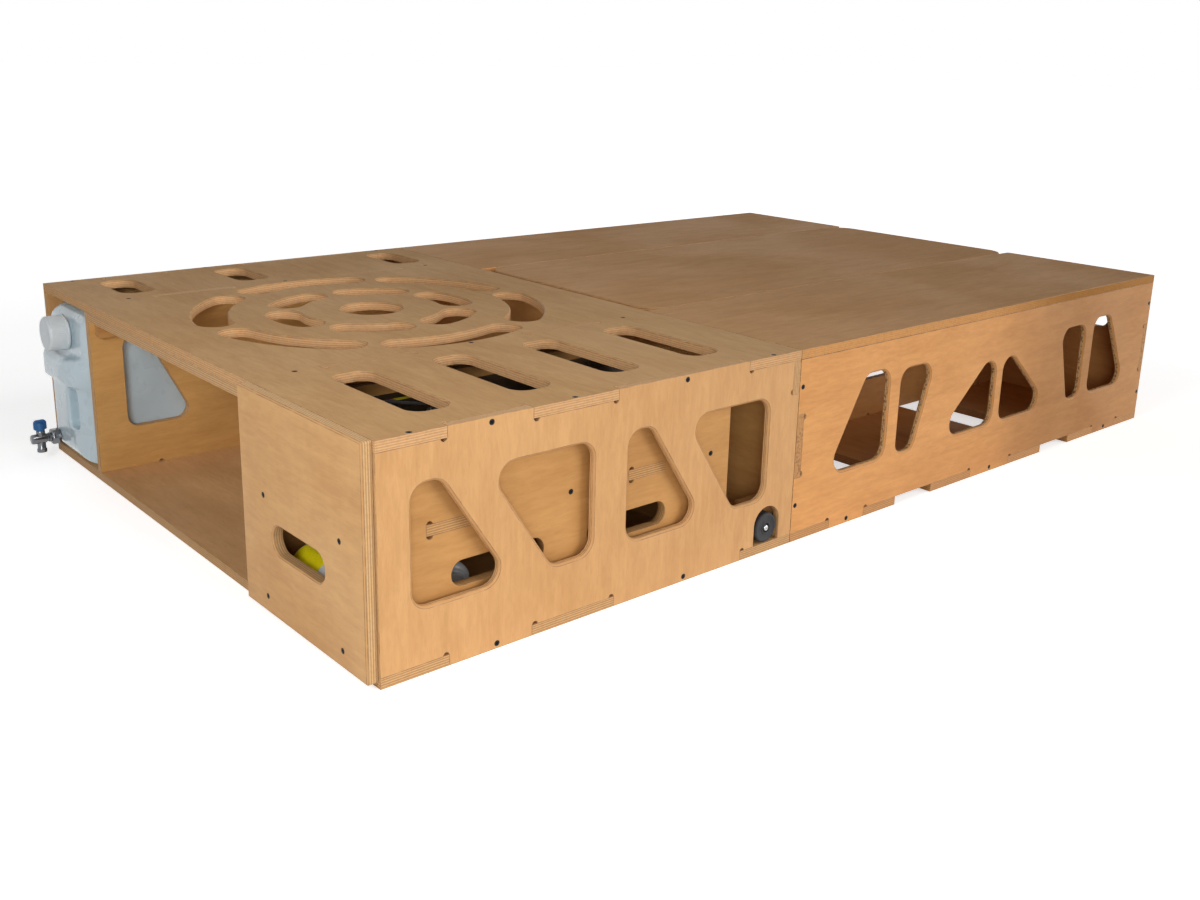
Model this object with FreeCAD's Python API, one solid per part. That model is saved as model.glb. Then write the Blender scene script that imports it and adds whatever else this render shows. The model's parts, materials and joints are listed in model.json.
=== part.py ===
import FreeCAD, Part
import math
import os
from FreeCAD import Vector

# Plywood camping box for a car: a kitchen box with a drawer and a water canister,
# two storage benches butted against its back, and a loose board that fills the
# foot well between the benches to make a bed.
# X runs from the drawer end to the foot end, Y from the right side to the left, Z up.
# The pieces are drawn from the near right bottom corner and saved about the centre
# of the kitchen box's floor. All sizes are in millimetres.

# Sheet stock and overall sizes
ply = 15.0
side_ply = 12.0
width = 1150.0
height = 315.0
base_length = 746.0
bench_length = 1140.0
module_gap = 1.0
slide_gap = 0.3
round_share = 0.499
tiny = 1e-6
pick_margin = 0.01
edge_ease = 2.0
window_ease = 3.0

# Finger joints
tab_first = 100.0
tab_mid_start = 230.0
tab_mid_end = 374.0
tab_last = 116.0
back_tab_height = 54.0
relief_radius = 4.5
relief_inset = 5.0

# Bays of the kitchen box
drawer_bay = 311.0
canister_bay = 198.0
divider_tab_start = 112.0
divider_tab_length = 156.0
divider_tab_end = 110.0
stiffener_depth = 60.0
cleat_set_back = 10.0
cleat_drop = 29.0
cleat_thickness = 12.0
cleat_corner = 6.0

# Slanted windows of the kitchen box, in pairs that lean towards each other
window_start = 48.0
window_low = 90.0
window_top_margin = 65.0
window_head = 42.4
window_strut = 67.4
window_foot = 68.0
window_pair_gap = 63.0
window_end_margin = 67.0
window_radius = 23.5
divider_window_start = 53.6
divider_window_low = 88.6
divider_window_head = 41.3
divider_window_foot = 122.0
divider_window_radius = 20.0

# Openings of the top panel
slot_width = 62.0
slot_length = 214.0
slot_start = 96.0
slot_end_margin = 104.0
slot_count = 4
slot_offset = 68.0
slot_radius = 22.0
small_slot_starts = (82.0, 300.0)
small_slot_end_margin = 48.0
small_slot_width = 61.0
small_slot_length = 131.0
small_slot_offset = 42.0
rosette_margin = 1.5
rosette_end_margin = 60.0
rosette_arcs = 6
rosette_hole = 52.0
ring_band = 57.0
ring_gap = 58.0
ring_bridge = 24.0

# Rollers in the side panels
roller_radius = 24.0
roller_width = 20.0
roller_set_in = 0.5
roller_from_back = 57.5
roller_floor_gap = 0.4
roller_bore_gap = 0.05
roller_chamfer = 2.0
roller_recess_radius = 7.5
roller_recess_depth = 4.0
axle_radius = 3.0
axle_head_radius = 4.5
axle_head_height = 3.4
washer_radius = 6.5
washer_thickness = 1.7
arch_width = 57.0
arch_height = 60.0
roller_block_width = 22.0
roller_block_height = 64.0

# Drawer
front_right_edge = 4.0
front_bottom = 8.0
front_gap = 0.5
front_corner = 3.0
drawer_right_gap = 5.0
drawer_left_gap = 2.0
drawer_rear_space = 119.0
drawer_top_gap = 15.0
drawer_floor_thickness = 9.0
glide_thickness = 3.0
shelf_underside = 172.5
shelf_tab_start = 79.0
shelf_tab_length = 70.0
shelf_tab_end = 131.0
handle_length = 138.0
handle_height = 41.0
handle_bottom = 103.0
wall_hole_start = 115.0
wall_hole_gap = 75.0
wall_hole_end_margin = 128.0
wall_hole_height = 35.0
wall_hole_bottom = 94.0
front_screw_right = 61.0
front_screw_spread = 198.5
front_screw_low = 32.4
front_screw_high = 176.5

# Stove and gas cartridges in the drawer
stove_start = 110.0
stove_back_gap = 37.0
stove_right_gap = 8.0
stove_left_gap = 16.0
stove_headroom = 13.0
stove_corner = 8.0
stove_wall = 1.5
burner_radius = 38.0
burner_height = 7.0
burner_bowl = 23.0
grid_margin = 45.0
grid_wire = 4.0
knob_radius = 13.0
knob_height = 8.0
knob_stem_radius = 4.0
knob_from_edge = 24.0
knob_bore_gap = 0.05
cartridge_radius = 33.0
cartridge_length = 186.0
cartridge_gap = 0.5
cartridge_left_gap = 48.5
spare_cartridge_pitch = 114.0
cartridge_collar_radius = 20.0
cartridge_collar = 6.0
cartridge_valve_radius = 8.0
cartridge_valve = 6.0

# Benches
right_bench_width = 347.0
left_bench_width = 312.0
board_near = 276.0
board_gap = 105.0
board_far = 285.0
board_shoulders = (91.0, 128.0, 93.0)
shoulder_shift = 4.0
end_tab_low = 107.0
end_tab_high = 211.0
lean_low = 95.0
lean_top_margin = 65.0
lean_radius = 24.0
steep_start = 83.0
steep_end = 231.0
steep_head = 60.0
narrow_start = 265.0
narrow_foot = 45.0
narrow_head = 92.0
narrow_top_margin = 72.0
narrow_radius = 19.0
flat_start = 383.0
flat_strut = 26.0
flat_top_margin = 72.0
grip_length = 187.0
grip_height = 41.0
grip_drop = 71.0
ledger_width = 20.0
batten_width = 40.0
batten_inset = 60.0
batten_gap = 2.0
board_edge_gap = 1.0
board_near_gap = 10.0
board_corner = 48.0
bolt_radius = 4.0
bolt_hole_gap = 0.2
bolt_head_radius = 7.5
bolt_head_height = 5.3
bolt_nut_height = 6.5
bolt_end = 4.0
bolt_inset = 70.0
bolt_height = 45.0

# Wood screws
screw_head_radius = 3.9
screw_head_depth = 3.2
screw_radius = 2.0
screw_length = 32.0
floor_screw_shift = 8.0
divider_screw_start = 73.0
shelf_screw_shift = 27.0

# Water canister, its cap and its tap
canister_right_gap = 1.5
canister_left_gap = 6.5
canister_top_gap = 7.0
canister_front = -12.0
canister_back = 400.0
canister_crown = 58.0
canister_corner = 26.0
foot_right_bow = 72.0
foot_left_bow = 34.0
band_right_bow = 90.0
band_left_bow = 40.0
canister_rear_bow = 42.0
canister_foot_round = 30.0
canister_rear_round = 45.0
canister_shoulder_round = 36.0
band_front = -27.0
band_drop = 87.0
band_height = 50.0
band_round = 14.0
band_under_round = 12.0
band_root_round = 10.0
neck_face = -1.0
neck_radius = 24.0
cap_radius = 31.5
cap_wall = 3.0
cap_front = -39.0
cap_back = -5.0
cap_rim = 2.5
cap_fit = 0.3
cap_drop = 46.0
grip_slot_width = 42.0
grip_slot_low = 76.0
grip_slot_drop = 6.0
grip_slot_depth = 26.0
grip_slot_corner = 10.0
grip_slot_from_left = 97.0
tap_from_left = 36.0
tap_height = 43.0
tap_barrel_radius = 9.0
tap_nut_radius = 15.0
tap_nut_length = 16.0
tap_end = -62.0
spout_from_end = 17.0
spout_radius = 8.5
spout_bottom = 18.0
stem_radius = 4.0
stem_top = 68.0
lever_hub_radius = 7.5
lever_hub_height = 10.0
lever_span = 22.0
lever_thickness = 5.0
lever_height = 20.0
lever_foot = 2.0
lever_corner = 6.0
lever_gap = 0.05

# Worked-out places
inner_right = side_ply
inner_left = width - side_ply
deck_under = height - ply
back_face = base_length - ply
drawer_divider_right = inner_right + drawer_bay
drawer_divider_left = drawer_divider_right + ply
canister_divider_left = inner_left - canister_bay
canister_divider_right = canister_divider_left - ply
bench_start = base_length + module_gap
bench_end = bench_start + bench_length
bench_top = deck_under - slide_gap
bench_middle = bench_start + bench_length / 2
window_high = height - window_top_margin
window_pair_length = (base_length - window_start - window_end_margin - window_pair_gap) / 2
window_run = window_pair_length - window_head - window_strut - window_foot
bay_middle = (drawer_divider_left + canister_divider_right) / 2
rosette_radius = min(
    canister_divider_right - bay_middle - rosette_margin,
    base_length / 2 - rosette_end_margin,
)
slot_pitch = (base_length - slot_start - slot_end_margin - slot_width) / (slot_count - 1)
last_small_slot = base_length - small_slot_end_margin - small_slot_width
origin = Vector(base_length / 2, width / 2, 0)

os.makedirs("parts", exist_ok=True)


def spot(axis, u, v, w):
    if axis == "x":
        return Vector(w, u, v)
    if axis == "y":
        return Vector(u, w, v)
    return Vector(u, v, w)


def slab(x0, x1, y0, y1, z0, z1):
    return Part.makeBox(x1 - x0, y1 - y0, z1 - z0, Vector(x0, y0, z0))


def prism(corners, axis, low, high):
    # A plate whose outline has (u, v, corner radius) points, set square to an axis.
    count = len(corners)
    starts = []
    mids = []
    ends = []
    for index, (u, v, radius) in enumerate(corners):
        here = Vector(u, v, 0)
        before = Vector(corners[index - 1][0], corners[index - 1][1], 0) - here
        after = Vector(corners[(index + 1) % count][0], corners[(index + 1) % count][1], 0) - here
        before.normalize()
        after.normalize()
        half = before.getAngle(after) / 2
        middle = before + after
        middle.normalize()
        starts.append(here + before * (radius / math.tan(half)))
        mids.append(here + middle * (radius / math.sin(half) - radius))
        ends.append(here + after * (radius / math.tan(half)))
    edges = []
    for index in range(count):
        start, mid, end = [spot(axis, p.x, p.y, low) for p in (starts[index], mids[index], ends[index])]
        following = starts[(index + 1) % count]
        if corners[index][2] > 0:
            edges.append(Part.Arc(start, mid, end).toShape())
        if (following - ends[index]).Length > tiny:
            edges.append(Part.makeLine(end, spot(axis, following.x, following.y, low)))
    face = Part.Face(Part.Wire(edges))
    return face.extrude(spot(axis, 0, 0, high - low))


def rounded(u0, u1, v0, v1, radius):
    return [(u0, v0, radius), (u1, v0, radius), (u1, v1, radius), (u0, v1, radius)]


def stadium(u0, u1, v0, v1):
    return rounded(u0, u1, v0, v1, round_share * min(u1 - u0, v1 - v0))


def rod(axis, u, v, low, high, radius):
    return Part.makeCylinder(radius, high - low, spot(axis, u, v, low), spot(axis, 0, 0, 1))


def hexagon(axis, u, v, low, high, radius):
    corners = []
    for step in range(6):
        turn = math.radians(60 * step)
        corners.append((u + radius * math.cos(turn), v + radius * math.sin(turn), 0))
    return prism(corners, axis, low, high)


def join(shapes):
    return shapes[0].multiFuse(shapes[1:]).removeSplitter()


def flipped(shape):
    return shape.mirror(Vector(0, width / 2, 0), Vector(0, 1, 0))


def save(name, *shapes):
    whole = shapes[0] if len(shapes) == 1 else Part.makeCompound(list(shapes))
    whole.translated(Vector(0, 0, 0) - origin).exportStep("parts/" + name + ".step")


def screw(x, y, z, direction):
    # A countersunk wood screw with its head flush at the given point.
    way = Vector(*direction)
    head = Part.makeCone(screw_head_radius, screw_radius, screw_head_depth, Vector(x, y, z), way)
    neck = Vector(x, y, z) + way * screw_head_depth
    shank = Part.makeCylinder(screw_radius, screw_length - screw_head_depth, neck, way)
    return head.fuse(shank).removeSplitter()


def side_notch(x0, x1, z0, z1, relief_x, relief_z, y0, y1):
    # A notch for a finger, with round reliefs where the cutter turned.
    tools = [slab(x0, x1, y0, y1, z0, z1)]
    for x in relief_x:
        for z in relief_z:
            tools.append(rod("y", x, z, y0, y1, relief_radius))
    return tools


def eased(shape, low, high, size=edge_ease):
    # Chamfers the edges that lie inside a flat box.
    reach = FreeCAD.BoundBox(Vector(*low), Vector(*high))
    reach.enlarge(pick_margin)
    edges = [edge for edge in shape.Edges if reach.isInside(edge.BoundBox)]
    return shape.makeChamfer(size, edges)


# Finger positions along the sides of the kitchen box
side_tabs = [
    (0.0, tab_first),
    (tab_mid_start, tab_mid_end),
    (base_length - tab_last, base_length),
]
last_divider_tab = back_face - divider_tab_end
divider_tabs = [
    (divider_tab_start, divider_tab_start + divider_tab_length),
    (last_divider_tab - divider_tab_length, last_divider_tab),
]


def window_pair(start):
    # A trapezium that leans back and its upside-down partner, with a slanted strut between.
    head_end = start + window_head
    foot_end = head_end + window_run
    partner_foot = foot_end + window_strut
    partner_end = partner_foot + window_foot
    r = window_radius
    leaning = [
        (start, window_low, r), (foot_end, window_low, r),
        (head_end, window_high, r), (start, window_high, r),
    ]
    partner = [
        (partner_foot, window_low, r), (partner_end, window_low, r),
        (partner_end, window_high, r), (partner_foot - window_run, window_high, r),
    ]
    return [leaning, partner]


box_windows = window_pair(window_start) + window_pair(window_start + window_pair_length + window_pair_gap)


def divider_windows():
    # One window behind the front edge and its mirror image before the back panel.
    foot_end = divider_window_start + divider_window_foot
    head_end = divider_window_start + divider_window_head
    r = divider_window_radius
    front = [
        (divider_window_start, divider_window_low, r), (foot_end, divider_window_low, r),
        (head_end, window_high, r), (divider_window_start, window_high, r),
    ]
    rear = [(back_face - x, z, radius) for x, z, radius in reversed(front)]
    return [front, rear]


def windows(outlines, y0, y1):
    return [prism(corners, "y", y0, y1) for corners in outlines]


roller_x = base_length - roller_from_back
roller_z = ply + roller_floor_gap + roller_radius


def box_side():
    # The right side of the kitchen box: windows, finger notches and the roller's arch.
    panel = slab(0, base_length, 0, side_ply, 0, height)
    tools = windows(box_windows, 0, side_ply)
    for x0, x1 in side_tabs:
        relief_x = []
        if x0 > 0:
            relief_x.append(x0 + relief_inset)
        if x1 < base_length:
            relief_x.append(x1 - relief_inset)
        tools += side_notch(x0, x1, deck_under, height, relief_x, [deck_under], 0, side_ply)
        tools += side_notch(x0, x1, 0, ply, relief_x, [ply], 0, side_ply)
    back_tab_low = deck_under - back_tab_height
    tools += side_notch(
        back_face, base_length, back_tab_low, deck_under,
        [back_face], [back_tab_low + relief_inset], 0, side_ply,
    )
    arch_left = roller_x - arch_width / 2
    arch_right = roller_x + arch_width / 2
    arch_top = ply + arch_height
    arch_round = round_share * arch_width
    arch = [
        (arch_left, ply, 0), (arch_right, ply, 0),
        (arch_right, arch_top, arch_round), (arch_left, arch_top, arch_round),
    ]
    tools.append(prism(arch, "y", 0, side_ply))
    panel = panel.cut(tools)
    for y in (0, side_ply):
        panel = eased(panel, (window_start, y, window_low),
                      (base_length - window_end_margin, y, window_high), window_ease)
    return panel


def fingered_panel(z0, z1):
    # The top or floor: fingers on both long edges, reliefs at their roots, mortises for the dividers.
    pieces = [slab(0, base_length, inner_right, inner_left, z0, z1)]
    tools = []
    for x0, x1 in side_tabs:
        pieces.append(slab(x0, x1, 0, inner_right, z0, z1))
        pieces.append(slab(x0, x1, inner_left, width, z0, z1))
        for y in (inner_right, inner_left):
            if x0 > 0:
                tools.append(rod("z", x0 - relief_inset, y, z0, z1, relief_radius))
            if x1 < base_length:
                tools.append(rod("z", x1 + relief_inset, y, z0, z1, relief_radius))
    for x0, x1 in divider_tabs:
        for y0 in (drawer_divider_right, canister_divider_right):
            tools.append(slab(x0, x1, y0, y0 + ply, z0, z1))
            for x in (x0 + relief_inset, x1 - relief_inset):
                tools.append(rod("z", x, y0, z0, z1, relief_radius))
    return join(pieces).cut(tools)


def ring_slot(radius, low_angle, high_angle, centre):
    # A curved slot with round ends, cut through the top panel.
    middle = radius - ring_band / 2
    end_turn = math.degrees(ring_band / 2 / middle)
    low = low_angle + end_turn
    high = high_angle - end_turn
    turn = Vector(0, 0, 1)
    ring = Part.makeCylinder(radius, ply, centre, turn, high - low)
    ring = ring.cut(Part.makeCylinder(radius - ring_band, ply, centre, turn, high - low))
    ring.rotate(centre, turn, low)
    ends = []
    for angle in (low, high):
        x = centre.x + middle * math.cos(math.radians(angle))
        y = centre.y + middle * math.sin(math.radians(angle))
        ends.append(Part.makeCylinder(ring_band / 2, ply, Vector(x, y, centre.z)))
    return join([ring] + ends)


def rosette():
    # A round vent: a middle hole inside as many staggered rings of curved slots as fit.
    centre = Vector(base_length / 2, bay_middle, deck_under)
    sector = 360.0 / rosette_arcs
    cuts = [Part.makeCylinder(rosette_hole, ply, centre)]
    radius = rosette_radius
    stagger = 0.0
    while radius - ring_band > rosette_hole + ring_gap:
        bridge = math.degrees(ring_bridge / 2 / radius)
        for step in range(rosette_arcs):
            low = step * sector + stagger
            cuts.append(ring_slot(radius, low + bridge, low + sector - bridge, centre))
        radius -= ring_band + ring_gap
        stagger += sector / 2
    return cuts


def top_panel():
    tools = rosette()
    slot_end = slot_offset + slot_length
    for step in range(slot_count):
        x = slot_start + step * slot_pitch
        outline = rounded(x, x + slot_width, slot_offset, slot_end, slot_radius)
        tools.append(prism(outline, "z", deck_under, height))
    small_end = width - small_slot_offset
    small_start = small_end - small_slot_length
    for x in small_slot_starts + (last_small_slot,):
        outline = rounded(x, x + small_slot_width, small_start, small_end, slot_radius)
        tools.append(prism(outline, "z", deck_under, height))
    panel = fingered_panel(deck_under, height).cut(tools)
    for low, high in (
        (slot_offset, slot_end),
        (bay_middle - rosette_radius, bay_middle + rosette_radius),
        (small_start, small_end),
    ):
        panel = eased(panel, (tiny, low, height), (base_length - tiny, high, height))
    return panel


def divider(y0):
    panel = slab(0, back_face, y0, y0 + ply, ply, deck_under)
    tabs = []
    tools = windows(divider_windows(), y0, y0 + ply)
    for x0, x1 in divider_tabs:
        tabs.append(slab(x0, x1, y0, y0 + ply, 0, ply))
        tabs.append(slab(x0, x1, y0, y0 + ply, deck_under, height))
        for x in (x0 - relief_inset, x1 + relief_inset):
            tools.append(rod("y", x, ply, y0, y0 + ply, relief_radius))
            tools.append(rod("y", x, deck_under, y0, y0 + ply, relief_radius))
    return join([panel] + tabs).cut(tools)


def stiffener_cleat(y0):
    top = deck_under - ply
    outline = [
        (cleat_set_back, top - cleat_drop, cleat_corner), (stiffener_depth, top - cleat_drop, 0),
        (stiffener_depth, top, 0), (cleat_set_back, top, 0),
    ]
    return prism(outline, "y", y0, y0 + cleat_thickness)


def back_panel():
    tab_low = deck_under - back_tab_height
    return join([
        slab(back_face, base_length, inner_right, inner_left, ply, deck_under),
        slab(back_face, base_length, 0, inner_right, tab_low, deck_under),
        slab(back_face, base_length, inner_left, width, tab_low, deck_under),
    ])


def box_screws():
    # Screws that pull the kitchen box together: into the floor and top from the sides,
    # down through the top's fingers, and down into both dividers.
    screws = []
    side_x = (
        (tab_first + tab_mid_start) / 2,
        (tab_mid_end + base_length - tab_last) / 2,
    )
    for x in side_x:
        for along, z in ((x + floor_screw_shift, ply / 2), (x, height - ply / 2)):
            screws.append(screw(along, 0, z, (0, 1, 0)))
            screws.append(screw(along, width, z, (0, -1, 0)))
    for x0, x1 in side_tabs:
        for y in (side_ply / 2, width - side_ply / 2):
            screws.append(screw((x0 + x1) / 2, y, height, (0, 0, -1)))
    gap_middle = (divider_tabs[0][1] + divider_tabs[1][0]) / 2
    for x in (divider_screw_start, gap_middle, (divider_tabs[1][1] + back_face) / 2):
        for y in (drawer_divider_right + ply / 2, canister_divider_right + ply / 2):
            screws.append(screw(x, y, height, (0, 0, -1)))
    return screws


def roller():
    low = roller_set_in
    high = roller_set_in + roller_width
    wheel = rod("y", roller_x, roller_z, low, high, roller_radius)
    rims = [edge for edge in wheel.Edges if edge.Closed]
    wheel = wheel.makeChamfer(roller_chamfer, rims)
    bore = rod("y", roller_x, roller_z, low, high, axle_radius + roller_bore_gap)
    recess = rod("y", roller_x, roller_z, low, low + roller_recess_depth, roller_recess_radius)
    return wheel.cut([bore, recess])


recess_floor = roller_set_in + roller_recess_depth
washer_high = recess_floor - slide_gap
washer_low = washer_high - washer_thickness
block_low = roller_set_in + roller_width + slide_gap
block_high = block_low + roller_block_width


def roller_washer():
    disc = rod("y", roller_x, roller_z, washer_low, washer_high, washer_radius)
    return disc.cut(rod("y", roller_x, roller_z, washer_low, washer_high, axle_radius))


def roller_axle():
    head = rod("y", roller_x, roller_z, washer_low - axle_head_height, washer_low, axle_head_radius)
    return head.fuse(rod("y", roller_x, roller_z, washer_low, block_high, axle_radius)).removeSplitter()


def roller_block():
    left = roller_x - arch_width / 2
    block = slab(left, back_face, block_low, block_high, ply, ply + roller_block_height)
    return block.cut(rod("y", roller_x, roller_z, block_low, block_high, axle_radius))


# Kitchen box
base_screws = box_screws()
right_side = box_side()
save("right_side_panel", right_side.cut(base_screws))
save("left_side_panel", flipped(right_side).cut(base_screws))
save("top_panel", top_panel().cut(base_screws))
save("floor_panel", fingered_panel(0, ply).cut(base_screws))
save("drawer_divider", divider(drawer_divider_right).cut(base_screws))
save("canister_divider", divider(canister_divider_right).cut(base_screws))
save("front_stiffener", slab(
    0, stiffener_depth, drawer_divider_left, canister_divider_right, deck_under - ply, deck_under))
save("stiffener_cleats", stiffener_cleat(drawer_divider_left),
     stiffener_cleat(canister_divider_right - cleat_thickness))
save("base_screws", *base_screws)
save("right_roller", roller())
save("left_roller", flipped(roller()))
save("roller_washers", roller_washer(), flipped(roller_washer()))
save("roller_axles", roller_axle(), flipped(roller_axle()))
save("right_roller_block", roller_block())
save("left_roller_block", flipped(roller_block()))

# Drawer
drawer_depth = back_face - drawer_rear_space
drawer_top = deck_under - drawer_top_gap
wall_out_right = inner_right + drawer_right_gap
wall_in_right = wall_out_right + ply
wall_out_left = drawer_divider_right - drawer_left_gap
wall_in_left = wall_out_left - ply
glide_low = ply + slide_gap
box_low = glide_low + glide_thickness
inner_front_back = ply - front_gap
drawer_back_face = drawer_depth - ply
drawer_floor_top = box_low + drawer_floor_thickness
shelf_top = shelf_underside + ply
front_middle = (wall_in_right + wall_in_left) / 2
handle = stadium(
    front_middle - handle_length / 2, front_middle + handle_length / 2,
    handle_bottom, handle_bottom + handle_height,
)
last_shelf_tab = drawer_depth - shelf_tab_end
shelf_tabs = [
    (shelf_tab_start, shelf_tab_start + shelf_tab_length),
    (last_shelf_tab - shelf_tab_length, last_shelf_tab),
]


def drawer_wall(y0):
    wall = slab(-front_gap, drawer_depth, y0, y0 + ply, box_low, drawer_top)
    tools = []
    hole_length = (drawer_depth - wall_hole_start - wall_hole_gap - wall_hole_end_margin) / 2
    hole_top = wall_hole_bottom + wall_hole_height
    for x in (wall_hole_start, wall_hole_start + hole_length + wall_hole_gap):
        tools.append(prism(stadium(x, x + hole_length, wall_hole_bottom, hole_top), "y", y0, y0 + ply))
    for x0, x1 in shelf_tabs:
        tools += side_notch(
            x0, x1, shelf_underside, shelf_top,
            [x0 + relief_inset], [shelf_underside, shelf_top], y0, y0 + ply)
    return wall.cut(tools)


def drawer_shelf():
    pieces = [slab(
        -front_gap, drawer_back_face, wall_in_right, wall_in_left, shelf_underside, shelf_top)]
    for x0, x1 in shelf_tabs:
        pieces.append(slab(x0, x1, wall_out_right, wall_in_right, shelf_underside, shelf_top))
        pieces.append(slab(x0, x1, wall_in_left, wall_out_left, shelf_underside, shelf_top))
    return join(pieces)


def drawer_screw_set():
    screws = []
    for y in (front_screw_right, front_screw_right + front_screw_spread):
        for z in (front_screw_low, front_screw_high):
            screws.append(screw(-front_gap - ply, y, z, (1, 0, 0)))
    shelf_middle = shelf_underside + ply / 2
    for gap_low, gap_high in ((shelf_tabs[0][1], shelf_tabs[1][0]), (shelf_tabs[1][1], drawer_depth)):
        x = (gap_low + gap_high) / 2 + shelf_screw_shift
        screws.append(screw(x, wall_out_right, shelf_middle, (0, 1, 0)))
        screws.append(screw(x, wall_out_left, shelf_middle, (0, -1, 0)))
    return screws


drawer_screws = drawer_screw_set()
front_outline = rounded(front_right_edge, drawer_divider_right, front_bottom, height, front_corner)
front_face = -front_gap - ply
front = prism(front_outline, "x", front_face, -front_gap)
front = front.cut(prism(handle, "x", front_face, -front_gap))
front = eased(front, (front_face, 0, 0), (front_face, width, height))
save("drawer_front", front.cut(drawer_screws))
save("drawer_inner_front", slab(-front_gap, inner_front_back, wall_in_right, wall_in_left, shelf_top, drawer_top))
save("drawer_right_wall", drawer_wall(wall_out_right).cut(drawer_screws))
save("drawer_left_wall", drawer_wall(wall_in_left).cut(drawer_screws))
save("drawer_back", slab(drawer_back_face, drawer_depth, wall_in_right, wall_in_left, box_low, drawer_top))
save("drawer_floor", slab(-front_gap, drawer_back_face, wall_in_right, wall_in_left,
                          box_low, drawer_floor_top).cut(drawer_screws))
save("drawer_shelf", drawer_shelf().cut(drawer_screws))
save("drawer_screws", *drawer_screws)
save("drawer_glides", *[
    slab(-front_gap, drawer_depth, y0, y0 + ply, glide_low, box_low) for y0 in (wall_out_right, wall_in_left)
])

# Stove on the drawer's shelf, and the cartridges below it
stove_low = wall_in_right + stove_right_gap
stove_high = wall_in_left - stove_left_gap
stove_end = drawer_back_face - stove_back_gap
stove_top = drawer_top - stove_headroom
burner_y = (stove_low + stove_high) / 2
burner_from_end = (stove_end - stove_start) / 4
burner_x = (stove_start + burner_from_end, stove_end - burner_from_end)
grid_half = burner_from_end - grid_margin
knob_y = stove_low + knob_from_edge


def stove_body():
    # A pressed sheet tray, open below, with two stems for the knobs.
    body = prism(
        rounded(stove_start, stove_end, stove_low, stove_high, stove_corner),
        "z", shelf_top, stove_top)
    body = body.cut(prism(
        rounded(stove_start + stove_wall, stove_end - stove_wall,
                stove_low + stove_wall, stove_high - stove_wall, stove_corner - stove_wall),
        "z", shelf_top, stove_top - stove_wall))
    stems = [rod("z", x, knob_y, stove_top, stove_top + knob_height / 2, knob_stem_radius) for x in burner_x]
    return join([body] + stems)


def stove_grid(x):
    # Two crossed wires on four short feet round one burner.
    low = stove_top + burner_height
    high = low + grid_wire
    half = grid_wire / 2
    foot = grid_half - half
    reach = grid_half * math.sqrt(2)
    bars = []
    for sign in (-1, 1):
        bar = slab(x - reach, x + reach, burner_y - half, burner_y + half, low, high)
        bar.rotate(Vector(x, burner_y, low), Vector(0, 0, 1), 45 * sign)
        bars.append(bar)
    for sx in (-1, 1):
        for sy in (-1, 1):
            bars.append(rod("z", x + sx * foot, burner_y + sy * foot, stove_top, low, half))
    return join(bars)


def stove_burner(x):
    low = stove_top
    ring = rod("z", x, burner_y, low, low + burner_height, burner_radius)
    return ring.cut(rod("z", x, burner_y, low + burner_height / 2, low + burner_height, burner_bowl))


def stove_knob(x):
    low = stove_top + slide_gap
    knob = rod("z", x, knob_y, low, low + knob_height, knob_radius)
    return knob.cut(rod("z", x, knob_y, low, stove_top + knob_height / 2 + slide_gap,
                        knob_stem_radius + knob_bore_gap))


def gas_cartridge(x):
    # A cartridge lying across the drawer, with its collar and valve towards the right wall.
    z = drawer_floor_top + cartridge_radius
    far_end = wall_in_left - cartridge_left_gap
    valve_low = far_end - cartridge_length
    collar_low = valve_low + cartridge_valve
    can_low = collar_low + cartridge_collar
    can = rod("y", x, z, can_low, far_end, cartridge_radius)
    collar = rod("y", x, z, collar_low, can_low, cartridge_collar_radius)
    valve = rod("y", x, z, valve_low, collar_low, cartridge_valve_radius)
    return join([can, collar, valve])


cartridge_x = inner_front_back + cartridge_gap + cartridge_radius
save("stove_body", stove_body())
save("stove_grids", *[stove_grid(x) for x in burner_x])
save("stove_burners", *[stove_burner(x) for x in burner_x])
save("near_stove_knob", stove_knob(burner_x[0]))
save("far_stove_knob", stove_knob(burner_x[1]))
save("gas_cartridge", gas_cartridge(cartridge_x))
save("spare_cartridge", gas_cartridge(cartridge_x + spare_cartridge_pitch))

# Benches
board_spans = [
    (bench_start, bench_start + board_near),
    (bench_start + board_near + board_gap, bench_end - board_far - board_gap),
    (bench_end - board_far, bench_end),
]
board_tabs = []
for (board_start, board_end), shoulder in zip(board_spans, board_shoulders):
    shoulder_start = (board_start + board_end - shoulder) / 2 + shoulder_shift
    board_tabs.append((board_start, shoulder_start))
    board_tabs.append((shoulder_start + shoulder, board_end))


def bench_windows():
    # Three leaning openings and their mirror images about the middle of the bench.
    r = lean_radius
    lean_high = height - lean_top_margin
    narrow_high = height - narrow_top_margin
    flat_high = height - flat_top_margin
    steep_right = bench_start + steep_end
    steep = [
        (bench_start + steep_start, lean_low, r), (steep_right, lean_low, r),
        (steep_right, lean_high, r), (steep_right - steep_head, lean_high, r),
    ]
    narrow_left = bench_start + narrow_start
    narrow = [
        (narrow_left, lean_low, narrow_radius), (narrow_left + narrow_foot, lean_low, narrow_radius),
        (narrow_left + narrow_head, narrow_high, r), (narrow_left, narrow_high, r),
    ]
    flat_right = bench_middle - flat_strut / 2
    flat = [(bench_start + flat_start, lean_low, r), (flat_right, lean_low, r), (flat_right, flat_high, r)]
    outlines = []
    for corners in (steep, narrow, flat):
        outlines.append(corners)
        outlines.append([(2 * bench_middle - u, v, r) for u, v, r in reversed(corners)])
    return outlines


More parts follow.
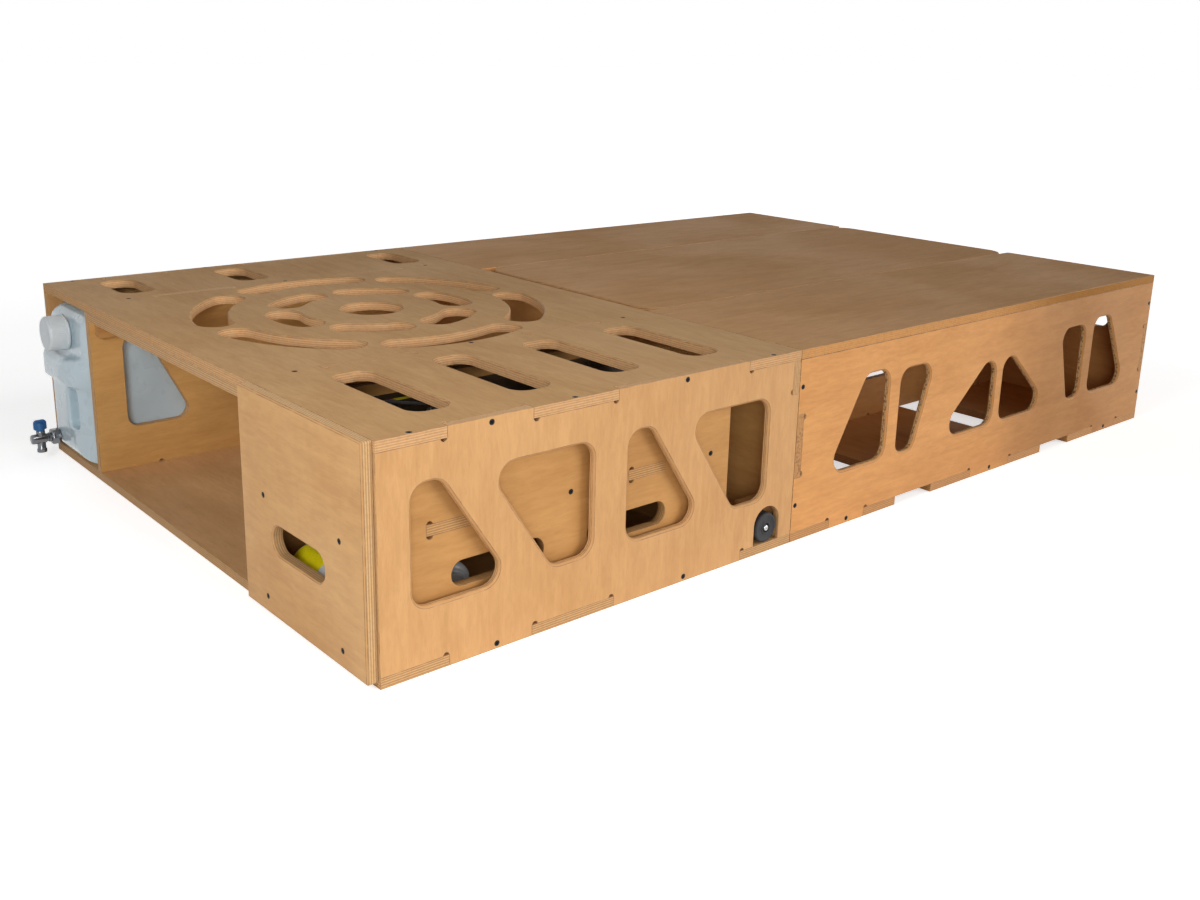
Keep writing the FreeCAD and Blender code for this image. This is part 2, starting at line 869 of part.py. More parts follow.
def bench_side(y0):
    panel = slab(bench_start, bench_end, y0, y0 + side_ply, 0, bench_top)
    tools = windows(bench_windows(), y0, y0 + side_ply)
    edges = [limit for span in board_spans for limit in span]
    for x0, x1 in board_tabs:
        relief_x = []
        if x0 not in edges:
            relief_x.append(x0 + relief_inset)
        if x1 not in edges:
            relief_x.append(x1 - relief_inset)
        tools += side_notch(x0, x1, 0, ply, relief_x, [ply], y0, y0 + side_ply)
    for near, far in ((board_spans[0][1], board_spans[1][0]), (board_spans[1][1], board_spans[2][0])):
        tools.append(slab(near, far, y0, y0 + side_ply, 0, ply))
    relief_z = [end_tab_low + relief_inset, end_tab_high - relief_inset]
    tools += side_notch(bench_start, bench_start + ply, end_tab_low, end_tab_high,
                        [bench_start + ply], relief_z, y0, y0 + side_ply)
    tools += side_notch(bench_end - ply, bench_end, end_tab_low, end_tab_high,
                        [bench_end - ply], relief_z, y0, y0 + side_ply)
    return panel.cut(tools)


def bench_end_panel(x0, bench_width):
    return join([
        slab(x0, x0 + ply, side_ply, bench_width - side_ply, ply, bench_top),
        slab(x0, x0 + ply, 0, side_ply, end_tab_low, end_tab_high),
        slab(x0, x0 + ply, bench_width - side_ply, bench_width, end_tab_low, end_tab_high),
    ])


def bench_board(index, bench_width):
    x0, x1 = board_spans[index]
    pieces = [slab(x0, x1, side_ply, bench_width - side_ply, 0, ply)]
    for tab_start, tab_end in board_tabs[2 * index:2 * index + 2]:
        pieces.append(slab(tab_start, tab_end, 0, side_ply, 0, ply))
        pieces.append(slab(tab_start, tab_end, bench_width - side_ply, bench_width, 0, ply))
    return join(pieces)


def bench_screw_set():
    # Screws through the outer side into the floor boards and the two ends.
    screws = []
    for index in range(3):
        x = (board_tabs[2 * index][1] + board_tabs[2 * index + 1][0]) / 2
        screws.append(screw(x, 0, ply / 2, (0, 1, 0)))
    for x in (bench_start + ply / 2, bench_end - ply / 2):
        for z in ((ply + end_tab_low) / 2, (end_tab_high + bench_top) / 2):
            screws.append(screw(x, 0, z, (0, 1, 0)))
    return screws


def bolt_places(bench_width):
    return [bolt_inset, bench_width - bolt_inset]


bolt_head_low = bench_start + ply
bolt_tail = back_face - bolt_nut_height - bolt_end


def joining_bolt(y):
    shank = rod("x", y, bolt_height, bolt_tail, bolt_head_low, bolt_radius)
    head = hexagon("x", y, bolt_height, bolt_head_low, bolt_head_low + bolt_head_height, bolt_head_radius)
    return shank.fuse(head).removeSplitter()


def joining_nut(y):
    low = back_face - bolt_nut_height
    nut = hexagon("x", y, bolt_height, low, back_face, bolt_head_radius)
    return nut.cut(rod("x", y, bolt_height, low, back_face, bolt_radius))


def bolt_holes(places, low, high):
    return [rod("x", y, bolt_height, low, high, bolt_radius + bolt_hole_gap) for y in places]


def bench_pieces(bench_width):
    # One bench on the right side, as named solids.
    inner = bench_width - side_ply
    screws = bench_screw_set()
    far_x = bench_end - ply
    outer_side = bench_side(0)
    for y in (0, side_ply):
        outer_side = eased(outer_side, (bench_start + steep_start, y, lean_low),
                           (bench_end - steep_start, y, height - lean_top_margin), window_ease)
    grip_middle = bench_width / 2
    grip_top = deck_under - grip_drop
    grip_half = grip_length / 2
    grip = stadium(grip_middle - grip_half, grip_middle + grip_half, grip_top - grip_height, grip_top)
    near_end = bench_end_panel(bench_start, bench_width)
    near_end = near_end.cut(bolt_holes(bolt_places(bench_width), bench_start, bench_start + ply))
    far_end = bench_end_panel(far_x, bench_width).cut(prism(grip, "x", far_x, bench_end))
    pieces = {
        "outer_side": [outer_side.cut(screws)],
        "inner_side": [bench_side(inner)],
        "near_end": [near_end.cut(screws)],
        "far_end": [far_end.cut(screws)],
        "near_floor_board": [bench_board(0, bench_width).cut(screws)],
        "middle_floor_board": [bench_board(1, bench_width).cut(screws)],
        "far_floor_board": [bench_board(2, bench_width).cut(screws)],
        "ledger": [slab(bench_start + ply, bench_end - ply, bench_width, bench_width + ledger_width,
                        bench_top - ply, bench_top)],
        "lid": [slab(bench_start, bench_end, 0, bench_width, deck_under, height)],
        "lid_battens": [],
        "screws": screws,
    }
    for x in (bench_start + batten_inset, bench_end - batten_inset - batten_width):
        pieces["lid_battens"].append(slab(x, x + batten_width, side_ply + batten_gap, inner - batten_gap,
                                          deck_under - ply, deck_under))
    return pieces


right_pieces = bench_pieces(right_bench_width)
left_pieces = {name: [flipped(shape) for shape in shapes] for name, shapes in
               bench_pieces(left_bench_width).items()}
bench_screws = right_pieces.pop("screws") + left_pieces.pop("screws")
for side, pieces in (("right", right_pieces), ("left", left_pieces)):
    for name, shapes in pieces.items():
        save(side + "_bench_" + name, *shapes)
save("bench_screws", *bench_screws)

bolt_y = bolt_places(right_bench_width) + [width - y for y in bolt_places(left_bench_width)]
save("back_panel", back_panel().cut(bolt_holes(bolt_y, back_face, base_length)))
save("joining_bolts", *[joining_bolt(y) for y in bolt_y])
save("joining_nuts", *[joining_nut(y) for y in bolt_y])

# Loose board over the foot well
board_right = right_bench_width + board_edge_gap
board_left = width - left_bench_width - board_edge_gap
board_outline = rounded(bench_start + board_near_gap, bench_end, board_right, board_left, board_corner)
save("middle_board", eased(
    prism(board_outline, "z", deck_under, height), (0, board_right, height), (bench_end, board_left, height)))

# Water canister
can_right = canister_divider_left + canister_right_gap
can_left = inner_left - canister_left_gap
can_low = ply + slide_gap
can_high = deck_under - canister_top_gap
can_middle = (can_right + can_left) / 2
band_high = can_high - band_drop
band_low = band_high - band_height
cap_z = can_high - cap_drop
grip_slot_high = band_low - grip_slot_drop


def canister_body():
    # The side, end and plan views of the can, crossed, with a bulging band below the neck.
    side_view = [
        (canister_front, can_low, canister_foot_round), (canister_back, can_low, canister_foot_round),
        (canister_back, can_high, canister_rear_round), (neck_face, can_high, canister_shoulder_round),
        (neck_face, band_high, band_root_round), (band_front, band_high, band_round),
        (band_front, band_low, band_under_round), (canister_front, band_low, 0),
    ]
    end_view = [
        (can_right, can_low, canister_corner), (can_left, can_low, canister_corner),
        (can_left, can_high, canister_crown), (can_right, can_high, canister_crown),
    ]
    foot_plan = [
        (canister_front, can_right, foot_right_bow), (canister_back, can_right, canister_rear_bow),
        (canister_back, can_left, canister_rear_bow), (canister_front, can_left, foot_left_bow),
    ]
    band_plan = [
        (band_front, can_right, band_right_bow), (canister_back, can_right, canister_rear_bow),
        (canister_back, can_left, canister_rear_bow), (band_front, can_left, band_left_bow),
    ]
    bowed = prism(foot_plan, "z", can_low, band_low).fuse(prism(band_plan, "z", band_low, can_high))
    length = prism(end_view, "x", band_front, canister_back)
    body = prism(side_view, "y", can_right, can_left).common(length).common(bowed)
    neck = rod("x", can_middle, cap_z, cap_front + cap_wall + cap_fit, neck_face, neck_radius)
    grip_left = can_left - grip_slot_from_left
    grip = rounded(grip_left - grip_slot_width, grip_left, grip_slot_low, grip_slot_high, grip_slot_corner)
    grip_cut = prism(grip, "x", band_front, canister_front + grip_slot_depth)
    return body.fuse(neck).cut(grip_cut).removeSplitter()


def canister_cap():
    shell = rod("x", can_middle, cap_z, cap_front, cap_back, cap_radius)
    rim = [edge for edge in shell.Edges if edge.BoundBox.XMax < cap_front + tiny]
    shell = shell.makeFillet(cap_rim, rim)
    return shell.cut(rod("x", can_middle, cap_z, cap_front + cap_wall, cap_back, neck_radius + cap_fit))


tap_y = can_left - tap_from_left
spout_x = tap_end + spout_from_end


def tap_body():
    nut = hexagon("x", tap_y, tap_height, canister_front - tap_nut_length, canister_front, tap_nut_radius)
    barrel = rod("x", tap_y, tap_height, tap_end, canister_front - tap_nut_length, tap_barrel_radius)
    spout = rod("z", spout_x, tap_y, spout_bottom, tap_height, spout_radius)
    stem = rod("z", spout_x, tap_y, tap_height, stem_top, stem_radius)
    bonnet = rod("z", spout_x, tap_y, tap_height, stem_top - lever_hub_height - slide_gap, lever_hub_radius)
    return join([nut, barrel, spout, stem, bonnet])


def tap_lever():
    low = stem_top - lever_hub_height
    hub = rod("z", spout_x, tap_y, low, stem_top + lever_thickness, lever_hub_radius)
    half = lever_span / 2
    wings = [
        (spout_x - half, low + lever_foot, lever_foot),
        (spout_x + half, low + lever_foot, lever_foot),
        (spout_x + half, low + lever_height, lever_corner),
        (spout_x - half, low + lever_height, lever_corner),
    ]
    wing = prism(wings, "y", tap_y - lever_thickness / 2, tap_y + lever_thickness / 2)
    bore = rod("z", spout_x, tap_y, low, stem_top + slide_gap, stem_radius + lever_gap)
    return join([hub, wing]).cut(bore)


save("canister_body", canister_body())
save("canister_cap", canister_cap())
save("tap_body", tap_body())
save("tap_lever", tap_lever())
print("saved", len([name for name in os.listdir("parts") if name.endswith(".step")]), "nodes")
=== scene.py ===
import json
import math
import bpy
from mathutils import Matrix, Vector

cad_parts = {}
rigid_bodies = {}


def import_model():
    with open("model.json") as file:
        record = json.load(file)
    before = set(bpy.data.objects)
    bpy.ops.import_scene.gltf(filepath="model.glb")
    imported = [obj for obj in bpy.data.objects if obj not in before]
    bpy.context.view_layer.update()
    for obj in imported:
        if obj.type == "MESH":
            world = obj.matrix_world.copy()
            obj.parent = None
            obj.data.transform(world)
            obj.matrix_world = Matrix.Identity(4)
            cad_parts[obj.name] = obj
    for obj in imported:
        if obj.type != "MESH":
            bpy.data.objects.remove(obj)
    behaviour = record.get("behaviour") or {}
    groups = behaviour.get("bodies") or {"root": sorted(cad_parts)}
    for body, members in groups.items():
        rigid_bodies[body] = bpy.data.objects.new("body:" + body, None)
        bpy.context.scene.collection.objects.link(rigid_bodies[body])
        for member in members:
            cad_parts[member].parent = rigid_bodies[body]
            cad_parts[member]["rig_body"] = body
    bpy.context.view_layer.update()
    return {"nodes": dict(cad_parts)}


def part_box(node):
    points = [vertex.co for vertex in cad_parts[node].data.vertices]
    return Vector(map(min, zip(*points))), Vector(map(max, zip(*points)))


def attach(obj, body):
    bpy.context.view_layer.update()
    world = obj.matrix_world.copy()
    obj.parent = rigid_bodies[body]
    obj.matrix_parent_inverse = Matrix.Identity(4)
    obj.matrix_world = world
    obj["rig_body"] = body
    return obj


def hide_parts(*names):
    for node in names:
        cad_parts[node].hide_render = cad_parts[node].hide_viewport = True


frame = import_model()
nodes = frame["nodes"]
scene = bpy.context.scene
bpy.ops.object.select_all(action="DESELECT")
print("frame loaded,", len(nodes), "nodes")

# camera at the photo's angle, worked out from the box's corners
cameraSet = {
    "place": (-1.0595, -1.7458, 0.7552),
    "turn": (74.66, -1.374, -40.983),
    "lens": 37.023,
    "sensor": 36,
    "shift": (-0.00253, -0.05546),
    "farClip": 100,
}
bpy.ops.object.camera_add(location=cameraSet["place"],
                          rotation=[math.radians(a) for a in cameraSet["turn"]])
camera = bpy.context.object
camera.name = "camera"
camera.data.sensor_width = cameraSet["sensor"]
camera.data.lens = cameraSet["lens"]
camera.data.shift_x, camera.data.shift_y = cameraSet["shift"]
camera.data.clip_end = cameraSet["farClip"]
scene.camera = camera
scene.view_settings.view_transform = "Standard"

# studio: white paper floor, a broad low light from the bench end, soft boxes before the drawer end,
# beside the camera and over the top's near corner
studio = {
    "floorSize": 60.0,
    "floorDrop": 0.0005,
    "floorColour": (0.86, 0.86, 0.86, 1),
    "floorRough": 0.9,
    "floorGlow": (0.62, 1.0),
    "glowReach": (1.6, 6.0),
    "skyStrength": 0.15,
    "skySeen": 1.0,
    "lamps": {
        "benchLight": {"kind": "SUN", "place": (3.1, -4.2, 1.25), "aim": (0, -0.57, 0.15),
                       "spread": 40, "power": 2.2},
        "endBox": {"kind": "AREA", "place": (-1.5, -0.9, 1.0), "aim": (-0.3, 0, 0.15),
                   "size": 0.5, "power": 10},
        "fillBox": {"kind": "AREA", "place": (-2.6, -3.4, 1.1), "aim": (0, -0.3, 0.15),
                    "size": 1.6, "power": 42},
        "topBox": {"kind": "AREA", "place": (-0.25, -0.75, 1.35), "aim": (-0.25, -0.6, 0.3),
                   "size": 0.4, "power": 3.2},
    },
}


def linkNodes(tree, pairs):
    for source, target in pairs:
        tree.links.new(source, target)


def makeLight(name, values):
    bpy.ops.object.light_add(type=values["kind"], location=values["place"])
    lamp = bpy.context.object
    lamp.name = name
    lamp.data.energy = values["power"]
    if values["kind"] == "SUN":
        lamp.data.angle = math.radians(values["spread"])
    else:
        lamp.data.shape = "DISK"
        lamp.data.size = values["size"]
    way = Vector(values["aim"]) - Vector(values["place"])
    lamp.rotation_euler = way.to_track_quat("-Z", "Y").to_euler()


def seenRays(tree):
    # camera, mirror and glass rays all meet the white paper
    lightPath = tree.nodes.new("ShaderNodeLightPath")
    share = lightPath.outputs["Is Camera Ray"]
    for kind in ("Is Glossy Ray", "Is Transmission Ray"):
        either = tree.nodes.new("ShaderNodeMath")
        either.operation = "MAXIMUM"
        linkNodes(tree, [(share, either.inputs[0]), (lightPath.outputs[kind], either.inputs[1])])
        share = either.outputs[0]
    return share


def makeStudio():
    for name, values in studio["lamps"].items():
        makeLight(name, values)
    bpy.ops.mesh.primitive_plane_add(size=studio["floorSize"], location=(0, 0, -studio["floorDrop"]))
    floor = bpy.context.object
    floor.name = "floor"
    bpy.ops.object.transform_apply(location=True, rotation=True, scale=True)
    material = bpy.data.materials.new("floorPaper")
    material.use_nodes = True
    tree = material.node_tree
    paper = tree.nodes["Principled BSDF"]
    paper.inputs["Base Color"].default_value = studio["floorColour"]
    paper.inputs["Roughness"].default_value = studio["floorRough"]
    glow = tree.nodes.new("ShaderNodeEmission")
    level = tree.nodes.new("ShaderNodeMath")
    level.operation = "MULTIPLY"
    # the paper brightens away from the box, so its far edge melts into the white
    place = tree.nodes.new("ShaderNodeTexCoord")
    far = tree.nodes.new("ShaderNodeVectorMath")
    far.operation = "LENGTH"
    fade = tree.nodes.new("ShaderNodeMapRange")
    fields = ("From Min", "From Max", "To Min", "To Max")
    for field, value in zip(fields, studio["glowReach"] + studio["floorGlow"]):
        fade.inputs[field].default_value = value
    both = tree.nodes.new("ShaderNodeAddShader")
    linkNodes(tree, [
        (place.outputs["Object"], far.inputs[0]),
        (far.outputs["Value"], fade.inputs["Value"]),
        (fade.outputs[0], level.inputs[1]),
        (seenRays(tree), level.inputs[0]),
        (level.outputs[0], glow.inputs["Strength"]),
        (paper.outputs[0], both.inputs[0]),
        (glow.outputs[0], both.inputs[1]),
        (both.outputs[0], tree.nodes["Material Output"].inputs["Surface"]),
    ])
    floor.data.materials.append(material)
    world = bpy.data.worlds.new("studioWorld")
    scene.world = world
    world.use_nodes = True
    tree = world.node_tree
    sky = tree.nodes["Background"]
    sky.inputs["Color"].default_value = (1, 1, 1, 1)
    level = tree.nodes.new("ShaderNodeMapRange")
    level.inputs["To Min"].default_value = studio["skyStrength"]
    level.inputs["To Max"].default_value = studio["skySeen"]
    linkNodes(tree, [
        (seenRays(tree), level.inputs["Value"]),
        (level.outputs[0], sky.inputs["Strength"]),
    ])


makeStudio()
print("camera and studio set")


# node helpers for the shared effects
def newGroup(name, inputs, outputs):
    group = bpy.data.node_groups.new(name, "ShaderNodeTree")
    for label, kind, start in inputs:
        socket = group.interface.new_socket(label, in_out="INPUT", socket_type="NodeSocket" + kind)
        socket.default_value = start
    for label, kind in outputs:
        group.interface.new_socket(label, in_out="OUTPUT", socket_type="NodeSocket" + kind)
    start = group.nodes.new("NodeGroupInput")
    end = group.nodes.new("NodeGroupOutput")
    return group, start.outputs, end.inputs


def putIn(tree, value, socket):
    if isinstance(value, bpy.types.NodeSocket):
        tree.links.new(value, socket)
    else:
        socket.default_value = value


def math1(tree, operation, a, b=0.0, c=0.0):
    node = tree.nodes.new("ShaderNodeMath")
    node.operation = operation
    for value, socket in zip((a, b, c), node.inputs):
        putIn(tree, value, socket)
    return node.outputs[0]


def ramp(tree, value, low, high, toLow=0.0, toHigh=1.0):
    node = tree.nodes.new("ShaderNodeMapRange")
    node.interpolation_type = "SMOOTHSTEP"
    fields = ("Value", "From Min", "From Max", "To Min", "To Max")
    for field, part in zip(fields, (value, low, high, toLow, toHigh)):
        putIn(tree, part, node.inputs[field])
    return node.outputs[0]


def noise(tree, vector, scale, detail=2.0, rough=0.5, twist=0.0):
    node = tree.nodes.new("ShaderNodeTexNoise")
    fields = ("Vector", "Scale", "Detail", "Roughness", "Distortion")
    for field, part in zip(fields, (vector, scale, detail, rough, twist)):
        putIn(tree, part, node.inputs[field])
    return node.outputs["Fac"]


def stretch(tree, vector, scale):
    node = tree.nodes.new("ShaderNodeVectorMath")
    node.operation = "MULTIPLY"
    putIn(tree, vector, node.inputs[0])
    putIn(tree, scale, node.inputs[1])
    return node.outputs[0]


def blendColour(tree, share, a, b, kind="MIX"):
    node = tree.nodes.new("ShaderNodeMix")
    node.data_type = "RGBA"
    node.blend_type = kind
    for value, socket in zip((share, a, b), (node.inputs[0], node.inputs[6], node.inputs[7])):
        putIn(tree, value, socket)
    return node.outputs[2]


# birch plywood: the sheet's own axes are x along the grain, y across it, z through the plies.
# Each mark has its spread per metre, its noise (detail, roughness, twist), where it starts and is full,
# and how far it stains the wood.
plyMarks = {
    "flame": {"spread": (1.1, 4.6, 4.6), "noise": (2.0, 0.45, 0.8), "rings": 62.0,
              "reach": (-0.2, 1.0), "share": 0.13},
    "streak": {"spread": (4.2, 70.0, 70.0), "noise": (4.0, 0.6, 0.3),
               "reach": (0.28, 0.74), "share": 0.2},
    "fleck": {"spread": (34.0, 150.0, 150.0), "noise": (3.0, 0.62, 0.4),
              "reach": (0.34, 0.66), "share": 0.3},
    "fibre": {"spread": (14.0, 640.0, 640.0), "noise": (2.0, 0.6, 0.0), "share": 0.2},
    "pores": {"spread": (60.0, 1300.0, 1300.0), "noise": (1.0, 0.5, 0.0),
              "reach": (0.64, 0.74), "share": 0.2},
    "cloud": {"spread": (3.2, 3.2, 3.2), "noise": (3.0, 0.55, 0.6),
              "reach": (0.3, 0.7), "share": 0.34},
    "mottle": {"spread": (9.0, 34.0, 34.0), "noise": (3.0, 0.6, 0.5),
               "reach": (0.34, 0.66), "share": 0.28},
    "ripple": {"spread": (42.0, 7.0, 7.0), "noise": (2.0, 0.5, 0.6), "reach": (0.3, 0.72)},
    "waver": {"spread": (14.0, 14.0, 60.0), "noise": (2.0, 0.5, 0.0), "share": 0.5},
    "chips": {"spread": (210.0, 210.0, 210.0), "noise": (2.0, 0.6, 0.0), "reach": (0.47, 0.62)},
    "grainEnd": {"spread": (90.0, 90.0, 1400.0), "noise": (2.0, 0.5, 0.0),
                 "reach": (0.4, 0.75), "share": 0.3},
}
plyCut = {
    "flat": (0.45, 0.62),  # how upright a face is where the cut edge ends
    "rim": (0.85, 0.97),  # and where the eased rim ends
    "rimStain": 0.5,
    "crossedStain": 0.6,
    "lineReach": (0.3, 0.5),
    "lineStain": 0.35,
    "lineUneven": (0.3, 0.95, 0.1, 1.0),
    "gloss": (0.42, 0.54),
    "cutDull": 0.14,
    "relief": {"streak": 0.3, "fibre": 0.35, "pores": 0.2, "grainEnd": 0.3, "line": 0.5},
}


def makePlyGroup():
    group, given, result = newGroup("birchSheet", [
        ("Sheet", "Vector", (0, 0, 0)), ("Facing", "Vector", (0, 0, 1)), ("Thickness", "Float", 0.015),
        ("Plies", "Float", 11.0), ("Face", "Color", (0.6, 0.36, 0.16, 1)),
        ("Figure", "Color", (0.42, 0.22, 0.09, 1)), ("Edge", "Color", (0.6, 0.4, 0.2, 1)),
        ("Glue", "Color", (0.2, 0.1, 0.04, 1)), ("Chips", "Float", 0.2), ("Contrast", "Float", 1.0),
        ("Wave", "Float", 0.0), ("Lines", "Float", 1.0),
    ], [("Color", "Color"), ("Roughness", "Float"), ("Height", "Float")])
    sheet = given["Sheet"]

    def times(a, b):
        return math1(group, "MULTIPLY", a, b)

    def drawn(mark):
        values = plyMarks[mark]
        return noise(group, stretch(group, sheet, values["spread"]), 1.0, *values["noise"])

    def reached(mark, value):
        return ramp(group, value, *plyMarks[mark]["reach"])

    def stained(mark, value):
        return times(value, plyMarks[mark]["share"])

    split = group.nodes.new("ShaderNodeSeparateXYZ")
    putIn(group, sheet, split.inputs[0])
    facing = group.nodes.new("ShaderNodeSeparateXYZ")
    putIn(group, given["Facing"], facing.inputs[0])
    upright = math1(group, "ABSOLUTE", facing.outputs["Z"])
    cut = ramp(group, upright, *plyCut["flat"], 1.0, 0.0)
    eased = times(ramp(group, upright, *plyCut["flat"]), ramp(group, upright, *plyCut["rim"], 1.0, 0.0))
    # veneer face: broad flames, soft streaks, flecks, fine fibre, short pores and clouds of lacquer
    rings = math1(group, "SINE", times(drawn("flame"), plyMarks["flame"]["rings"]))
    streak, fibre, cloud = drawn("streak"), drawn("fibre"), drawn("cloud")
    pores = reached("pores", drawn("pores"))
    depth = stained("fibre", fibre)
    for mark, value in (("streak", streak), ("fleck", drawn("fleck")), ("flame", rings), ("cloud", cloud),
                        ("mottle", drawn("mottle"))):
        depth = math1(group, "ADD", stained(mark, reached(mark, value)), depth)
    depth = math1(group, "MULTIPLY_ADD", reached("ripple", drawn("ripple")), given["Wave"], depth)
    depth = times(depth, given["Contrast"])
    face = blendColour(group, depth, given["Face"], given["Figure"])
    face = blendColour(group, stained("pores", pores), face, given["Glue"])
    # cut edge: plies crossing in turn, thin glue lines of uneven strength, torn chips
    layer = times(math1(group, "DIVIDE", split.outputs["Z"], given["Thickness"]), given["Plies"])
    layer = math1(group, "ADD", stained("waver", math1(group, "SUBTRACT", drawn("waver"), 0.5)), layer)
    index = math1(group, "FLOOR", layer)
    within = math1(group, "FRACT", layer)
    crossed = math1(group, "MODULO", math1(group, "ABSOLUTE", index), 2.0)
    crossed = times(times(crossed, plyCut["crossedStain"]), given["Lines"])
    random = group.nodes.new("ShaderNodeTexWhiteNoise")
    random.noise_dimensions = "1D"
    putIn(group, index, random.inputs["W"])
    fromMiddle = math1(group, "ABSOLUTE", math1(group, "SUBTRACT", within, 0.5))
    line = ramp(group, fromMiddle, *plyCut["lineReach"])
    line = times(line, ramp(group, random.outputs["Value"], *plyCut["lineUneven"]))
    line = times(line, given["Lines"])
    grainEnd = drawn("grainEnd")
    edge = blendColour(group, crossed, given["Edge"], given["Glue"])
    edge = blendColour(group, stained("grainEnd", reached("grainEnd", grainEnd)), edge, given["Figure"])
    edge = blendColour(group, times(line, plyCut["lineStain"]), edge, given["Glue"])
    chips = times(reached("chips", drawn("chips")), given["Chips"])
    edge = blendColour(group, chips, edge, given["Glue"])
    colour = blendColour(group, times(eased, plyCut["rimStain"]), face, given["Figure"])
    putIn(group, blendColour(group, cut, colour, edge), result["Color"])
    gloss = ramp(group, cloud, *plyMarks["cloud"]["reach"], *plyCut["gloss"])
    putIn(group, math1(group, "MULTIPLY_ADD", cut, plyCut["cutDull"], gloss), result["Roughness"])
    relief = plyCut["relief"]
    height = math1(group, "MULTIPLY_ADD", streak, relief["streak"], times(fibre, relief["fibre"]))
    height = math1(group, "SUBTRACT", height, times(pores, relief["pores"]))
    ridges = math1(group, "SUBTRACT", times(grainEnd, relief["grainEnd"]), times(line, relief["line"]))
    height = math1(group, "ADD", times(height, math1(group, "SUBTRACT", 1.0, cut)), times(ridges, cut))
    putIn(group, height, result["Height"])
    return group


plyGroup = makePlyGroup()

# which way each sheet is turned: (through the plies, along the grain)
sheetTurns = {
    ("z", "x"): (0, 0, 0), ("z", "y"): (0, 0, -90), ("y", "x"): (90, 0, 0),
    ("y", "z"): (90, 0, -90), ("x", "z"): (0, 90, 0), ("x", "y"): (0, 90, -90),
}
axisNumber = {"x": 0, "y": 1, "z": 2}

plyTones = {
    "side": {"face": (0.68, 0.38, 0.158, 1), "figure": (0.52, 0.268, 0.1, 1),
             "edge": (0.64, 0.385, 0.175, 1), "shine": 0.25},
    "bench": {"face": (0.77, 0.372, 0.12, 1), "figure": (0.56, 0.245, 0.07, 1),
              "edge": (0.6, 0.31, 0.115, 1), "shine": 0.25},
    "deck": {"face": (0.6, 0.37, 0.172, 1), "figure": (0.46, 0.26, 0.115, 1),
             "edge": (0.7, 0.41, 0.2, 1), "shine": 0.01},
    "lid": {"face": (0.6, 0.335, 0.15, 1), "figure": (0.45, 0.242, 0.102, 1),
            "edge": (0.66, 0.325, 0.12, 1), "shine": 0.01},
    "wall": {"face": (0.69, 0.395, 0.138, 1), "figure": (0.54, 0.285, 0.09, 1),
             "edge": (0.64, 0.385, 0.175, 1), "shine": 0.2},
    "front": {"face": (0.68, 0.395, 0.152, 1), "figure": (0.53, 0.28, 0.105, 1),
              "edge": (0.66, 0.415, 0.19, 1), "shine": 0.25},
    # bay: a lighter copy of the plywood, painted light that brightens the floor in the shaded middle bay
    "bay": {"face": (0.76, 0.46, 0.225, 1), "figure": (0.58, 0.33, 0.145, 1),
            "edge": (0.64, 0.385, 0.175, 1), "shine": 0.1},
    "inside": {"face": (0.6, 0.315, 0.105, 1), "figure": (0.45, 0.215, 0.065, 1),
               "edge": (0.58, 0.325, 0.125, 1), "shine": 0.2},
    "glue": (0.19, 0.085, 0.035, 1),
    "chipped": (0.72, 0.46, 0.21, 1),
    "chippedFrom": 0.8,
    # darker grey multiplied into the bench's outside along its length
    "darkAlong": (0.62, 0.585, 0.47, 1),
    "veneer": 0.00167,
    "contrast": 0.8,
    "bump": 0.0002,
    "bumpStrength": 0.5,
    "sheetStep": (1.7, 0.9),  # each sheet is cut from another place of the figure
}
plyUsual = {"thickness": 0.015, "chips": 0.12, "wave": 0.0, "lines": 0.85}
alongDarkening = {
    "patches": (5.0, 3.0, 0.6),
    "drift": 0.22,
    "hold": 0.1,
    "leftAtEnd": 0.6,
    "sideways": (0.5, 0.9),
}


def alongDarkShare(tree, place, span):
    # the bench's outside is painted darker and greyer along its length, and clears a little at its end
    start, full, end = span
    spread = tree.nodes.new("ShaderNodeSeparateXYZ")
    putIn(tree, place.outputs["Object"], spread.inputs[0])
    patch = noise(tree, place.outputs["Object"], *alongDarkening["patches"])
    drift = math1(tree, "SUBTRACT", patch, 0.5)
    along = math1(tree, "MULTIPLY_ADD", drift, alongDarkening["drift"], spread.outputs["X"])
    outward = tree.nodes.new("ShaderNodeSeparateXYZ")
    putIn(tree, place.outputs["Normal"], outward.inputs[0])
    sideways = ramp(tree, math1(tree, "ABSOLUTE", outward.outputs["Y"]), *alongDarkening["sideways"])
    clearing = ramp(tree, along, full + alongDarkening["hold"], end, 1.0, alongDarkening["leftAtEnd"])
    share = math1(tree, "MULTIPLY", ramp(tree, along, start, full), clearing)
    return math1(tree, "MULTIPLY", share, sideways)


